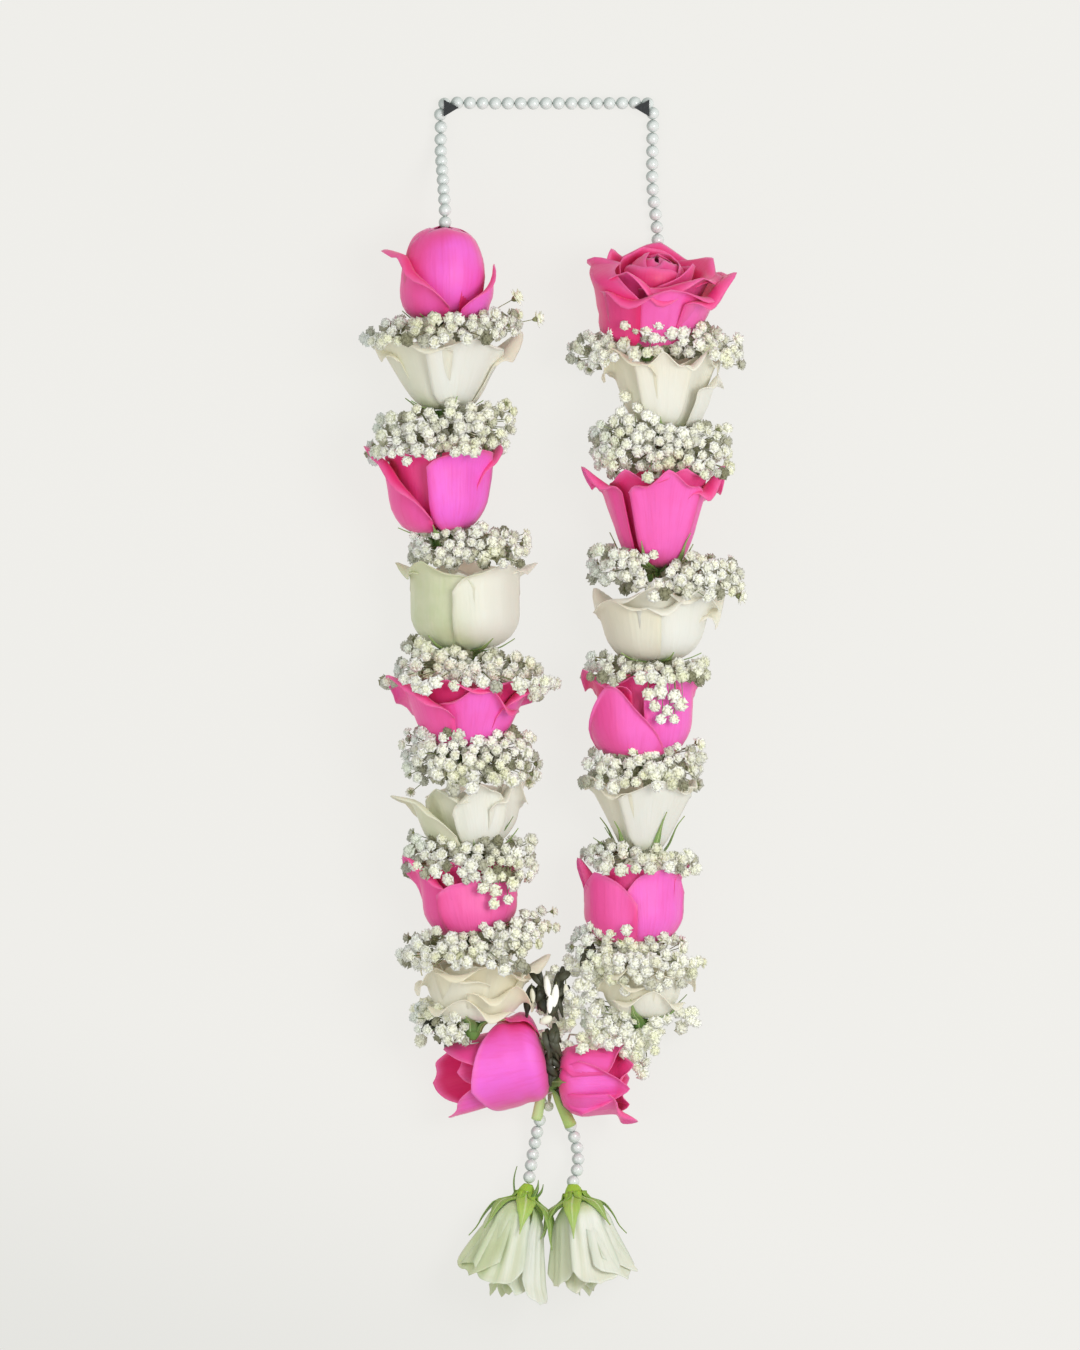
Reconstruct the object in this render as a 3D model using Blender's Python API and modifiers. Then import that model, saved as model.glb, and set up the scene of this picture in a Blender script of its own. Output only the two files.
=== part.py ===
"""A flower garland laid flat on a table: two strands of pink and white roses with collars of
baby's breath between them, a neck strand of pearls, and two pearl pendants that end in a rose.

The garland lies in the XY plane with +Y towards the neck strand, +X to its right-hand strand as
seen from above, and +Z up. Its origin is the middle of its box at the table. Sizes are millimetres.
"""

import math
import random
from collections import namedtuple

import bmesh
import bpy
from mathutils import Matrix, Vector
from mathutils.bvhtree import BVHTree

MM = 0.001
# The Boolean solver for closed solids: it is quick, and what it joins stays closed.
SOLVER = "MANIFOLD"

# Pearls and thread.
PEARL_RADIUS = 3.0
PEARL_PITCH = 6.0
PEARL_SHOULDER = 1.35
PEARL_SHOULDER_RADIUS = 2.8
PEARL_NECK_RADIUS = 0.9
THREAD_RADIUS = 0.5
BORE_RADIUS = 1.1
SEAT_GAP = 0.3
KNOT_RADIUS = 2.4
KNOT = Vector((-3.0, -192.0, 12.0))
UNDER_THE_HIPS = {
    "left": (Vector((-22, -159, 32)), Vector((-4, -156, 16)), Vector((-1, -178, 4.5))),
    "right": (Vector((26, -159, 26)), Vector((7, -158, 12)), Vector((0, -177, 4.5))),
}
BRANCH = {
    "left": (Vector((-3, -181, 6)), Vector((6, -171, 9)), Vector((8, -165, 16))),
    "right": (Vector((-5.5, -187, 15)),),
}
# The neck strand falls from the roses to the table over NECK_FALL, then runs to its corners.
NECK_FALL = 34.0
NECK_TOP_Y = 282.0
NECK_LEFT_X = -54.0
NECK_RIGHT_X = 46.0
NECK_CORNER = 3.4
NECK_CLEAR_SHARE = 0.22
NECK_SAG_SHARE = 0.10
ROUTE_SAMPLES = 400
# Each pendant's string starts beside the knot, bows sideways and lies near the table.
PENDANT_START = Vector((3.6, -3.6, -1.0))
PENDANT_BEND = {"left": -0.5, "right": 6.0}
PENDANT_BEND_SHARE = 0.25
PENDANT_SAG = Vector((0, 0, -2.5))
PENDANT_LIFT = 2.0
STOP_SIZE = 4.6
STOP_THICKNESS = 4.4
STOP_INSET = 6.4

# Petals: every rose has an outer whorl of five, tucked one over the next.
PETALS = 5
PETAL_THICKNESS = 0.8
PETAL_HALF_ANGLE = math.radians(39)
PETAL_ROOT_RADIUS = 4.8
# Shares of a rose's height at its petals' foot, belly, middle, throat and rim.
PETAL_HEIGHTS = (0.07, 0.30, 0.58, 0.84, 0.97)
PETAL_FOOT_SHARE = 0.72
PETAL_TUCK = 2.5
PETAL_SHOULDER_DROP = 0.15
PETAL_SHOULDER_POWER = 2.2
PETAL_ROWS = (0.0, 0.42, 0.82, 1.0)
PETAL_COLUMNS = (-1.0, 0.0, 1.0)
# The closed heart: shares of its girth and height at the crown, and heights of belly and foot.
HEART_CROWN = (0.70, 0.88)
HEART_BELLY = 0.55
HEART_FOOT = 0.10
HEART_BASE = -1.2
HEART_BASE_PLAY = 0.9
HEART_SIDES = 6
HEART_PLAY = 2.7
HEART_FOOT_PLAY = 1.0
TABLE_PRESS = 0.7

# Hip and sepals under each rose.
HIP_RADIUS = 6.0
HIP_LENGTH = 7.5
HIP_TOP = -1.5
SEPALS = 5
SEPAL_THICKNESS = 0.8
SEPAL_CLEARANCE = 2.0
SEPAL_TURN = math.radians(12)
SEPAL_DROP = 1.2

# Baby's breath: a ring round each hip, with florets on stems that stand out of it all round.
RING_DEPTH = 6.3
RING_RADIUS = 8.65
RING_GIRTH = 3.6
RING_STEPS = 8
RING_SIDES = 4
CROWD_MARGIN = 0.35
FLORET_RADIUS = 5.0
FLORET_LENGTH = 8.0
STEM_RADIUS = 0.9
FLORETS = 7
FLORET_TRIES = 30
FLORET_TILT = math.radians(38)
FLORET_SWING = 0.45
FLORET_ROOT = 4.0
FLORET_REACH_PLAY = (-3.0, 5.0)
# The stem between the two lowest collars, and the heading and lift of the florets on it.
BRIDGE = (Vector((-30, -152, 33)), Vector((2, -147, 28)), Vector((32, -151, 25)))
BRIDGE_FLORETS = ((80, 10), (200, 40), (340, 45), (270, 70))
BRIDGE_FLORET_LENGTH = 12.0

# How far each collar's florets reach from its ring, from the first rose to the last.
BREATH_REACH = {
    "left": (18, 17, 15, 18, 18, 17, 18, 11),
    "right": (18, 16, 18, 13, 14, 14, 15, 13),
}
# The gap kept open between the strands, from its foot to the neck strand.
GAP_LEFT, GAP_RIGHT = -3.5, 7.0

Rose = namedtuple(
    "Rose", "name colour x y heading lift spin height belly throat flare bud girth hug"
)

# x and y place the root of the petals, heading and lift point from there to the open end, and
# spin turns the bloom about that line. height, belly, throat and flare shape the outer petals,
# bud is the height of the closed heart and girth its radius. hug is how far the sepals climb.
ROSES = (
    Rose("left_1", "pink", -52, 178, 90, 0, 30, 37, 20.0, 20.0, 9.5, 47, 18.5, 0.30),
    Rose("left_2", "white", -53, 137, 90, 0, 10, 33, 20.0, 29.0, 6.0, 21, 12, 0.30),
    Rose("left_3", "pink", -54, 78, 92, 0, 52, 40, 22.5, 25.5, 5.5, 24, 14, 0.30),
    Rose("left_4", "white", -43, 23, 90, 0, 20, 41, 26.0, 26.0, 5.5, 25, 15, 0.34),
    Rose("left_5", "pink", -42, -23, 89, 0, 40, 32, 22.5, 30.5, 7.5, 19, 14, 0.28),
    Rose("left_6", "white", -38, -71, 97, 0, 64, 31, 21.0, 26.0, 6.5, 18, 12, 0.40),
    Rose("left_7", "pink", -41, -112, 92, 0, 25, 34, 21.0, 22.5, 4.0, 20, 13, 0.28),
    Rose("left_8", "white", -39, -147.5, 86, 0, 48, 29, 22.0, 28.5, 6.0, 19, 13, 0.28),
    Rose("left_9", "pink", -5, -171, 205, 0, 30, 47, 17.5, 18.0, 2.5, 38, 15, 0.22),
    Rose("right_1", "pink", 44, 169, 84, 16, 36, 40, 23.0, 30.0, 6.5, 42, 17, 0.34),
    Rose("right_2", "white", 51, 127, 90, 0, 60, 36, 20.0, 26.0, 5.0, 20, 12, 0.30),
    Rose("right_3", "pink", 48, 62, 90, 0, 36, 45, 19.5, 27.0, 4.5, 27, 12, 0.42),
    Rose("right_4", "white", 48, 18, 92, 0, 14, 32, 23.0, 28.0, 4.5, 19, 14, 0.34),
    Rose("right_5", "pink", 42, -28, 92, 0, 45, 40, 23.0, 24.5, 4.5, 25, 14, 0.28),
    Rose("right_6", "white", 41, -73, 90, 0, 20, 34, 14.5, 23.5, 2.5, 20, 9, 0.62),
    Rose("right_7", "pink", 38, -116, 90, 0, 30, 37, 23.0, 24.0, 3.0, 22, 14, 0.28),
    Rose("right_8", "white", 41, -147, 88, 0, 50, 27, 18.5, 22.0, 3.5, 19, 11, 0.44),
    Rose("right_9", "pink", 9, -183.5, 6, 0, 62, 31, 16.5, 16.5, 2.5, 22, 13, 0.30),
    Rose("pendant_left", "white", -14.6, -237.5, 257, 8, 36, 45, 13.5, 17.5, 3.0, 27, 8, 0.66),
    Rose("pendant_right", "white", 9.6, -237.5, 279, 8, 0, 44, 13.5, 17.0, 3.0, 26, 8, 0.66),
)
STRAND_ROSES = 8
TABLE_SIZE = (0.7, 0.9, 0.05)

COLOURS = {
    "pink": ((0.85, 0.08, 0.36, 1), 0.55),
    "white": ((0.80, 0.79, 0.70, 1), 0.55),
    "calyx": ((0.24, 0.38, 0.08, 1), 0.60),
    "breath": ((0.74, 0.75, 0.66, 1), 0.70),
    "pearl": ((0.80, 0.84, 0.81, 1), 0.22),
    "stop": ((0.05, 0.05, 0.06, 1), 0.50),
    "thread": ((0.85, 0.85, 0.80, 1), 0.80),
}


def smooth(edge_low, edge_high, value):
    """0 below the first edge, 1 above the second, with a soft step between."""
    share = min(1.0, max(0.0, (value - edge_low) / (edge_high - edge_low)))
    return share * share * (3 - 2 * share)


def catmull(points, share):
    """The point at a share from 0 to 1 along a smooth curve through evenly shared points."""
    place = min(share, 0.99999) * (len(points) - 1)
    index = int(place)
    f = place - index
    a, b = points[max(index - 1, 0)], points[index]
    c, d = points[index + 1], points[min(index + 2, len(points) - 1)]
    return [
        0.5
        * (
            2 * b[i]
            + (c[i] - a[i]) * f
            + (2 * a[i] - 5 * b[i] + 4 * c[i] - d[i]) * f * f
            + (3 * b[i] - a[i] - 3 * c[i] + d[i]) * f**3
        )
        for i in range(len(b))
    ]


def petal_profile(rose, share, flare=None):
    """Radius and height of the petals' outer face, from the root at 0 to the rim at 1."""
    middle = (rose.belly + rose.throat) / 2
    flare = rose.flare if flare is None else flare
    radii = (
        PETAL_FOOT_SHARE * rose.belly,
        rose.belly,
        middle,
        rose.throat,
        rose.throat + flare,
    )
    heights = [part * rose.height for part in PETAL_HEIGHTS]
    return catmull([(PETAL_ROOT_RADIUS, 0.0), *zip(radii, heights)], share)


def petal_habits(rose):
    """How each petal of the whorl differs: its azimuth, its rim's reach and its length."""
    draw = random.Random(rose.name)
    return [
        (
            math.radians(rose.spin + k * 360 / PETALS + draw.uniform(-3, 3)),
            draw.uniform(0.6, 1.3),
            draw.uniform(0.94, 1.06),
        )
        for k in range(PETALS)
    ]


def petal_point(rose, habit, u, v):
    """A point on a petal: u runs across it from -1 to 1, and v from its root to its rim."""
    azimuth, reach, length = habit
    share = v * (1 - PETAL_SHOULDER_DROP * abs(u) ** PETAL_SHOULDER_POWER)
    inner = 1 - u * u
    radius, height = petal_profile(rose, share, rose.flare * (1 + (reach - 1) * inner))
    half_angle = PETAL_HALF_ANGLE * (0.5 + 0.5 * smooth(0.0, PETAL_ROWS[1], v))
    radius += PETAL_TUCK * u * smooth(0.0, PETAL_ROWS[1], v)
    angle = azimuth + u * half_angle
    height *= 1 + (length - 1) * inner * v
    return Vector((radius * math.cos(angle), radius * math.sin(angle), height))


def rose_axes(rose):
    """Rotation of a rose: its Z points to the open end, and its X side faces up."""
    heading, lift = math.radians(rose.heading), math.radians(rose.lift)
    axis = Vector(
        (
            math.cos(heading) * math.cos(lift),
            math.sin(heading) * math.cos(lift),
            math.sin(lift),
        )
    )
    up = Vector((0, 0, 1))
    side = (up - up.dot(axis) * axis).normalized()
    return Matrix((side, axis.cross(side), axis)).transposed()


def rose_frame(rose):
    """Where a rose lies: its lowest petals press on the table."""
    turn = rose_axes(rose)
    lowest = min(
        (turn @ petal_point(rose, habit, u, v)).z
        for habit in petal_habits(rose)
        for u in PETAL_COLUMNS
        for v in PETAL_ROWS
    )
    place = Vector((rose.x, rose.y, -lowest - TABLE_PRESS))
    return Matrix.Translation(place) @ turn.to_4x4()


FRAMES = {rose.name: rose_frame(rose) for rose in ROSES}
BY_NAME = {rose.name: rose for rose in ROSES}


def on_axis(rose, height):
    """A point on a rose's own axis, in the garland's frame."""
    return FRAMES[rose.name] @ Vector((0, 0, height))


def axis_of(rose):
    """The direction from a rose's root to its open end."""
    return (FRAMES[rose.name].to_3x3() @ Vector((0, 0, 1))).normalized()


def clear_scene():
    for obj in list(bpy.data.objects):
        bpy.data.objects.remove(obj)


def make_collection(name):
    collection = bpy.data.collections.new(name)
    bpy.context.scene.collection.children.link(collection)
    return collection


def make_material(name):
    colour, roughness = COLOURS[name]
    material = bpy.data.materials.new(name)
    material.use_nodes = True
    shader = material.node_tree.nodes["Principled BSDF"]
    shader.inputs["Base Color"].default_value = colour
    shader.inputs["Roughness"].default_value = roughness
    return material


def add_mesh(name, mesh, collection):
    obj = bpy.data.objects.new(name, mesh)
    collection.objects.link(obj)
    return obj


def settled(obj, weld=True):
    """Swaps an object for the plain mesh that its modifiers or curve settings make."""
    bpy.context.view_layer.update()
    evaluated = obj.evaluated_get(bpy.context.evaluated_depsgraph_get())
    mesh = bpy.data.meshes.new_from_object(evaluated)
    if weld:
        work = bmesh.new()
        work.from_mesh(mesh)
        bmesh.ops.remove_doubles(work, verts=work.verts, dist=0.00001)
        work.to_mesh(mesh)
        work.free()
    collection, name, matrix = obj.users_collection[0], obj.name, obj.matrix_world.copy()
    bpy.data.objects.remove(obj)
    made = add_mesh(name, mesh, collection)
    made.matrix_world = matrix
    return made


def turned(name, profile, steps, collection):
    """A solid turned about Z from a closed profile that runs down its outer side."""
    work = bmesh.new()
    ring = [work.verts.new((radius * MM, 0, height * MM)) for radius, height in profile]
    ends = ring[:1] if profile[0][0] > 0 else []
    for a, b in zip(ring, ring[1:] + ends):
        work.edges.new((a, b))
    mesh = bpy.data.meshes.new(name)
    work.to_mesh(mesh)
    work.free()
    obj = add_mesh(name, mesh, collection)
    screw = obj.modifiers.new("Turned", "SCREW")
    screw.steps = screw.render_steps = steps
    screw.use_merge_vertices = True
    screw.merge_threshold = 0.00001
    return settled(obj)


def blade(name, columns, rows, place, thickness, collection):
    """A thin leaf: an open sheet whose points the place function gives, made solid inwards."""
    work = bmesh.new()
    bmesh.ops.create_grid(
        work, x_segments=len(columns) - 1, y_segments=len(rows) - 1, size=1.0
    )
    for vert in work.verts:
        column = round((vert.co.x + 1) / 2 * (len(columns) - 1))
        row = round((vert.co.y + 1) / 2 * (len(rows) - 1))
        vert.co = place(columns[column], rows[row]) * MM
    bmesh.ops.triangulate(work, faces=work.faces)
    bmesh.ops.recalc_face_normals(work, faces=work.faces)
    middle = sum((v.co for v in work.verts), Vector()) / len(work.verts)
    outward = Vector((middle.x, middle.y, 0))
    if sum(face.normal.dot(outward) * face.calc_area() for face in work.faces) < 0:
        bmesh.ops.reverse_faces(work, faces=work.faces)
    mesh = bpy.data.meshes.new(name)
    work.to_mesh(mesh)
    work.free()
    obj = add_mesh(name, mesh, collection)
    solidify = obj.modifiers.new("Thickness", "SOLIDIFY")
    solidify.thickness = thickness * MM
    solidify.offset = -1
    return settled(obj)


def fused(name, body, others, collection):
    """Joins a body and the pieces that grow from it into one solid."""
    group = bpy.data.collections.new(name + "_joined")
    for obj in others:
        group.objects.link(obj)
    union = body.modifiers.new("Joined", "BOOLEAN")
    union.operation = "UNION"
    union.solver = SOLVER
    union.operand_type = "COLLECTION"
    union.collection = group
    made = settled(body, weld=False)
    for obj in others:
        bpy.data.objects.remove(obj)
    bpy.data.collections.remove(group)
    made.name = name
    for other in made.users_collection:
        other.objects.unlink(made)
    collection.objects.link(made)
    return made


def cut(obj, cutter, label):
    """Takes a cutter's shape out of an object."""
    difference = obj.modifiers.new(label, "BOOLEAN")
    difference.operation = "DIFFERENCE"
    difference.solver = SOLVER
    difference.object = cutter


def tube(name, points, radii, resolution, collection):
    """A round tube through points, with its own radius at each, as a closed mesh."""
    curve = bpy.data.curves.new(name, "CURVE")
    curve.dimensions = "3D"
    curve.bevel_depth = MM
    curve.bevel_resolution = resolution
    curve.use_fill_caps = True
    spline = curve.splines.new("POLY")
    spline.points.add(len(points) - 1)
    for spot, point, radius in zip(spline.points, points, radii):
        spot.co = (*(Vector(point) * MM), 1)
        spot.radius = radius
    obj = bpy.data.objects.new(name, curve)
    collection.objects.link(obj)
    return settled(obj)


def make_bloom(rose, garland, helpers):
    """The petals of one rose, fused to its closed heart, with a bore for the thread."""
    top = rose.bud
    first_radius, first_height = petal_profile(rose, PETAL_ROWS[1])
    girth = min(rose.girth, first_radius - HEART_PLAY)
    foot_height = HEART_FOOT * rose.height
    slope = (first_radius - PETAL_ROOT_RADIUS) / first_height
    foot = min(girth, PETAL_ROOT_RADIUS + slope * foot_height - HEART_FOOT_PLAY)
    heart = turned(
        rose.name + "_heart",
        (
            (BORE_RADIUS, top),
            (HEART_CROWN[0] * girth, HEART_CROWN[1] * top),
            (girth, HEART_BELLY * top),
            (foot, foot_height),
            (PETAL_ROOT_RADIUS + HEART_BASE_PLAY, HEART_BASE),
            (BORE_RADIUS, HEART_BASE),
        ),
        HEART_SIDES,
        helpers,
    )
    petals = [
        blade(
            f"{rose.name}_petal_{k}",
            PETAL_COLUMNS,
            PETAL_ROWS,
            lambda u, v, habit=habit: petal_point(rose, habit, u, v),
            PETAL_THICKNESS,
            helpers,
        )
        for k, habit in enumerate(petal_habits(rose))
    ]
    bloom = fused(rose.name + "_petals", heart, petals, garland)
    bloom.matrix_world = metric(FRAMES[rose.name])
    return bloom


def metric(frame):
    """A frame in millimetres as a matrix in metres."""
    matrix = frame.copy()
    matrix.translation = frame.translation * MM
    return matrix


def make_calyx(rose, garland):
    """The hip under a rose, its upper edge drawn out into five sepals, with the thread's bore."""
    end = HIP_TOP - HIP_LENGTH
    calyx = turned(
        rose.name + "_calyx",
        (
            (BORE_RADIUS, HIP_TOP),
            (HIP_RADIUS - 0.3, HIP_TOP),
            (HIP_RADIUS, HIP_TOP - 0.2),
            (HIP_RADIUS, HIP_TOP - SEPAL_THICKNESS),
            (HIP_RADIUS - 0.2, HIP_TOP - 2 * SEPAL_THICKNESS),
            (0.5 * HIP_RADIUS, end),
            (BORE_RADIUS, end),
        ),
        2 * SEPALS,
        garland,
    )
    tip_radius, tip_height = petal_profile(rose, min(rose.hug, PETAL_ROWS[1]))
    for vert in calyx.data.vertices:
        radius = vert.co.xy.length / MM
        height = vert.co.z / MM
        place = math.atan2(vert.co.y, vert.co.x) / math.tau * 2 * SEPALS
        if abs(radius - HIP_RADIUS) < 0.1 and round(place) % 2:
            drop = HIP_TOP - height
            reach = tip_radius + SEPAL_CLEARANCE + 0.4 * drop
            vert.co = Vector(
                (vert.co.x / radius * reach, vert.co.y / radius * reach, 0)
            ) + Vector((0, 0, (tip_height - SEPAL_DROP - 0.8 * drop) * MM))
    calyx.data.transform(Matrix.Rotation(math.radians(rose.spin) + SEPAL_TURN, 4, "Z"))
    calyx.matrix_world = metric(FRAMES[rose.name])
    return calyx


def surface_of(objects):
    """A search tree over the outer faces of objects as they lie, in millimetres."""
    graph = bpy.context.evaluated_depsgraph_get()
    points, faces = [], []
    for obj in objects:
        evaluated = obj.evaluated_get(graph)
        mesh = evaluated.to_mesh()
        start = len(points)
        points += [obj.matrix_world @ v.co / MM for v in mesh.vertices]
        faces += [[start + i for i in p.vertices] for p in mesh.polygons]
        evaluated.to_mesh_clear()
    return BVHTree.FromPolygons(points, faces)


def crowded(mesh, frame, tree):
    """Whether a mesh, swollen by a margin, meets the tree's faces or the table."""
    turn = frame.to_3x3()
    points = [frame @ (v.co / MM) + turn @ v.normal * CROWD_MARGIN for v in mesh.vertices]
    faces = [list(p.vertices) for p in mesh.polygons]
    swollen = BVHTree.FromPolygons(points, faces)
    return min(point.z for point in points) < 0 or bool(swollen.overlap(tree))


def make_ring(frame, helpers):
    """The short tangle of stems that sits round a hip, as a ring."""
    bpy.ops.mesh.primitive_torus_add(
        major_segments=RING_STEPS,
        minor_segments=RING_SIDES,
        major_radius=RING_RADIUS * MM,
        minor_radius=RING_GIRTH * MM,
    )
    ring = bpy.context.object
    for other in ring.users_collection:
        other.objects.unlink(ring)
    helpers.objects.link(ring)
    ring.data.transform(Matrix.Translation(Vector((0, 0, -RING_DEPTH)) * MM))
    return ring


def make_floret(name, root, way, length, helpers):
    """A floret on its stem, growing from root in the direction of way."""
    floret = turned(
        name,
        (
            (0.0, length),
            (FLORET_RADIUS, length - 0.4 * FLORET_LENGTH),
            (STEM_RADIUS, length - FLORET_LENGTH),
            (0.0, 0.0),
        ),
        4,
        helpers,
    )
    turn = way.to_track_quat("Z", "Y").to_matrix().to_4x4()
    floret.data.transform(Matrix.Translation(root * MM) @ turn)
    floret.data.update()
    return floret


def make_collar(name, rose, reach, room, helpers, tree):
    """A ring and its florets, kept clear of the roses: the pieces of one collar."""
    draw = random.Random(name)
    frame = FRAMES[rose.name]
    pieces = [make_ring(frame, helpers)]
    for k in range(FLORETS):
        for attempt in range(FLORET_TRIES):
            azimuth = math.tau * (k + draw.uniform(-FLORET_SWING, FLORET_SWING)) / FLORETS
            tilt = draw.uniform(-FLORET_TILT, FLORET_TILT)
            flat = Vector((math.cos(azimuth), math.sin(azimuth), 0))
            way = (flat * math.cos(tilt) + Vector((0, 0, math.sin(tilt)))).normalized()
            root = flat * RING_RADIUS - Vector((0, 0, RING_DEPTH))
            shrink = 1 - 0.5 * attempt / FLORET_TRIES
            length = (reach + draw.uniform(*FLORET_REACH_PLAY)) * shrink
            length += RING_GIRTH + FLORET_ROOT
            if room(frame @ root, frame.to_3x3() @ way) < length + FLORET_RADIUS:
                continue
            floret = make_floret(f"{name}_floret_{k}", root, way, length, helpers)
            if not crowded(floret.data, frame, tree):
                pieces.append(floret)
                break
            bpy.data.objects.remove(floret)
    for piece in pieces:
        piece.matrix_world = metric(frame)
    return pieces


def make_bridge(helpers):
    """The stem and florets that join the two lowest collars where the strands meet."""
    stem = tube("bridge", BRIDGE, [STEM_RADIUS] * len(BRIDGE), 0, helpers)
    middle = BRIDGE[1]
    florets = []
    for k, (heading, lift) in enumerate(BRIDGE_FLORETS):
        turn = Matrix.Rotation(math.radians(heading), 3, "Z")
        way = turn @ Vector((math.cos(math.radians(lift)), 0, math.sin(math.radians(lift))))
        floret = make_floret(f"bridge_floret_{k}", middle, way, BRIDGE_FLORET_LENGTH, helpers)
        florets.append(floret)
    return [stem] + florets


def hermite(start, start_way, end, end_way, count):
    """Points between two ends, leaving and arriving along the given directions."""
    span = (end - start).length
    found = []
    for i in range(1, count):
        f = i / count
        found.append(
            start * (2 * f**3 - 3 * f**2 + 1)
            + start_way * span * (f**3 - 2 * f**2 + f)
            + end * (3 * f**2 - 2 * f**3)
            + end_way * span * (f**3 - f**2)
        )
    return found


def strand_route(side):
    """The thread's way down one strand, along each rose's axis, to the knot."""
    roses = [BY_NAME[f"{side}_{i}"] for i in range(1, STRAND_ROSES + 1)]
    route = []
    for index, rose in enumerate(roses):
        top = on_axis(rose, rose.bud + (0.0 if index == 0 else 1.0))
        end = on_axis(rose, HIP_TOP - HIP_LENGTH - 1.8)
        if route:
            route += hermite(route[-1], -axis_of(roses[index - 1]), top, -axis_of(rose), 2)
        route += [top, end]
    return route + list(UNDER_THE_HIPS[side]) + [KNOT]


def branch_route(side):
    """The thread's way from the knot into the last rose of a strand."""
    rose = BY_NAME[f"{side}_9"]
    return [KNOT, *BRANCH[side], on_axis(rose, HIP_TOP - HIP_LENGTH - 1.0), on_axis(rose, 2.0)]


def make_thread(garland, helpers):
    """The string: down both strands to the knot, and from there into the two last roses."""
    runs = []
    for side in ("left", "right"):
        for route in (strand_route(side), branch_route(side)):
            name = f"{side}_run_{len(runs)}"
            runs.append(tube(name, route, [THREAD_RADIUS] * len(route), 0, helpers))
    work = bmesh.new()
    bmesh.ops.create_icosphere(work, subdivisions=1, radius=KNOT_RADIUS * MM)
    bmesh.ops.translate(work, verts=work.verts, vec=KNOT * MM)
    mesh = bpy.data.meshes.new("knot")
    work.to_mesh(mesh)
    work.free()
    knot = add_mesh("knot", mesh, helpers)
    return fused("thread", knot, runs, garland)


def bead_string(name, route, beads, tail, collection):
    """Pearls on their thread: a tube that swells into a bead at every pitch of the route."""
    fine = [Vector(catmull(route, i / ROUTE_SAMPLES)) for i in range(ROUTE_SAMPLES + 1)]
    run = [0.0]
    for a, b in zip(fine, fine[1:]):
        run.append(run[-1] + (b - a).length)

    def at(distance):
        for i in range(1, len(run)):
            if run[i] >= distance:
                f = (distance - run[i - 1]) / (run[i] - run[i - 1])
                return fine[i - 1].lerp(fine[i], f)
        return fine[-1] + (fine[-1] - fine[-2]).normalized() * (distance - run[-1])

    def on_table(point):
        return Vector((point.x, point.y, max(point.z, PEARL_RADIUS)))

    points, radii = [], []
    for bead in range(beads):
        centre = (bead + 0.5) * PEARL_PITCH
        for offset, radius in (
            (-PEARL_PITCH / 2, PEARL_NECK_RADIUS),
            (-PEARL_SHOULDER, PEARL_SHOULDER_RADIUS),
            (PEARL_SHOULDER, PEARL_SHOULDER_RADIUS),
        ):
            points.append(on_table(at(centre + offset)))
            radii.append(radius)
    points.append(at(beads * PEARL_PITCH))
    radii.append(PEARL_NECK_RADIUS)
    for point in tail:
        points.append(point)
        radii.append(THREAD_RADIUS)
    return tube(name, points, radii, 1, collection)


def neck_route():
    """The neck strand's line: up from the left rose, down to the table, and across."""
    left, right = BY_NAME["left_1"], BY_NAME["right_1"]
    start = on_axis(left, left.bud + SEAT_GAP)
    end = on_axis(right, right.bud + SEAT_GAP)
    rest = PEARL_RADIUS

    def rise(foot_x, top, way):
        clear = top + way * NECK_CLEAR_SHARE * NECK_FALL
        height = clear.z - rest
        middle = clear.lerp(Vector((foot_x, top.y + NECK_FALL, rest)), 0.5)
        return [
            top,
            clear,
            middle + Vector((0, 0, -NECK_SAG_SHARE * height)),
            Vector((foot_x, top.y + NECK_FALL, rest)),
        ]

    up = rise(NECK_LEFT_X, start, axis_of(left))
    down = rise(NECK_RIGHT_X, end, axis_of(right))[::-1]
    corner = NECK_CORNER
    across = [
        Vector((NECK_LEFT_X, (up[-1].y + NECK_TOP_Y) / 2, rest)),
        Vector((NECK_LEFT_X, NECK_TOP_Y - corner, rest)),
        Vector((NECK_LEFT_X + corner, NECK_TOP_Y, rest)),
        Vector((NECK_LEFT_X / 2, NECK_TOP_Y, rest)),
        Vector((NECK_RIGHT_X / 2, NECK_TOP_Y, rest)),
        Vector((NECK_RIGHT_X - corner, NECK_TOP_Y, rest)),
        Vector((NECK_RIGHT_X, NECK_TOP_Y - corner, rest)),
        Vector((NECK_RIGHT_X, (down[0].y + NECK_TOP_Y) / 2, rest)),
    ]
    return up + across + down


def make_neck_strand(garland):
    """The neck strand of pearls."""
    route = neck_route()
    length = sum((b - a).length for a, b in zip(route, route[1:]))
    return bead_string("neck_pearls", route, round(length / PEARL_PITCH), [], garland)


def make_stop(side, garland):
    """The dark three-sided stop that sits in one top corner of the neck strand."""
    x, lean = (NECK_LEFT_X, 1) if side == "left" else (NECK_RIGHT_X, -1)
    work = bmesh.new()
    bmesh.ops.create_cone(
        work,
        cap_ends=True,
        segments=3,
        radius1=STOP_SIZE * MM,
        radius2=STOP_SIZE * MM,
        depth=STOP_THICKNESS * MM,
    )
    mesh = bpy.data.meshes.new(side + "_stop")
    work.to_mesh(mesh)
    work.free()
    stop = add_mesh(side + "_stop", mesh, garland)
    stop.location = Vector((x + lean * STOP_INSET, NECK_TOP_Y - STOP_INSET, PEARL_RADIUS)) * MM
    stop.rotation_euler.z = math.radians(45 * lean)
    return stop


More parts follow.
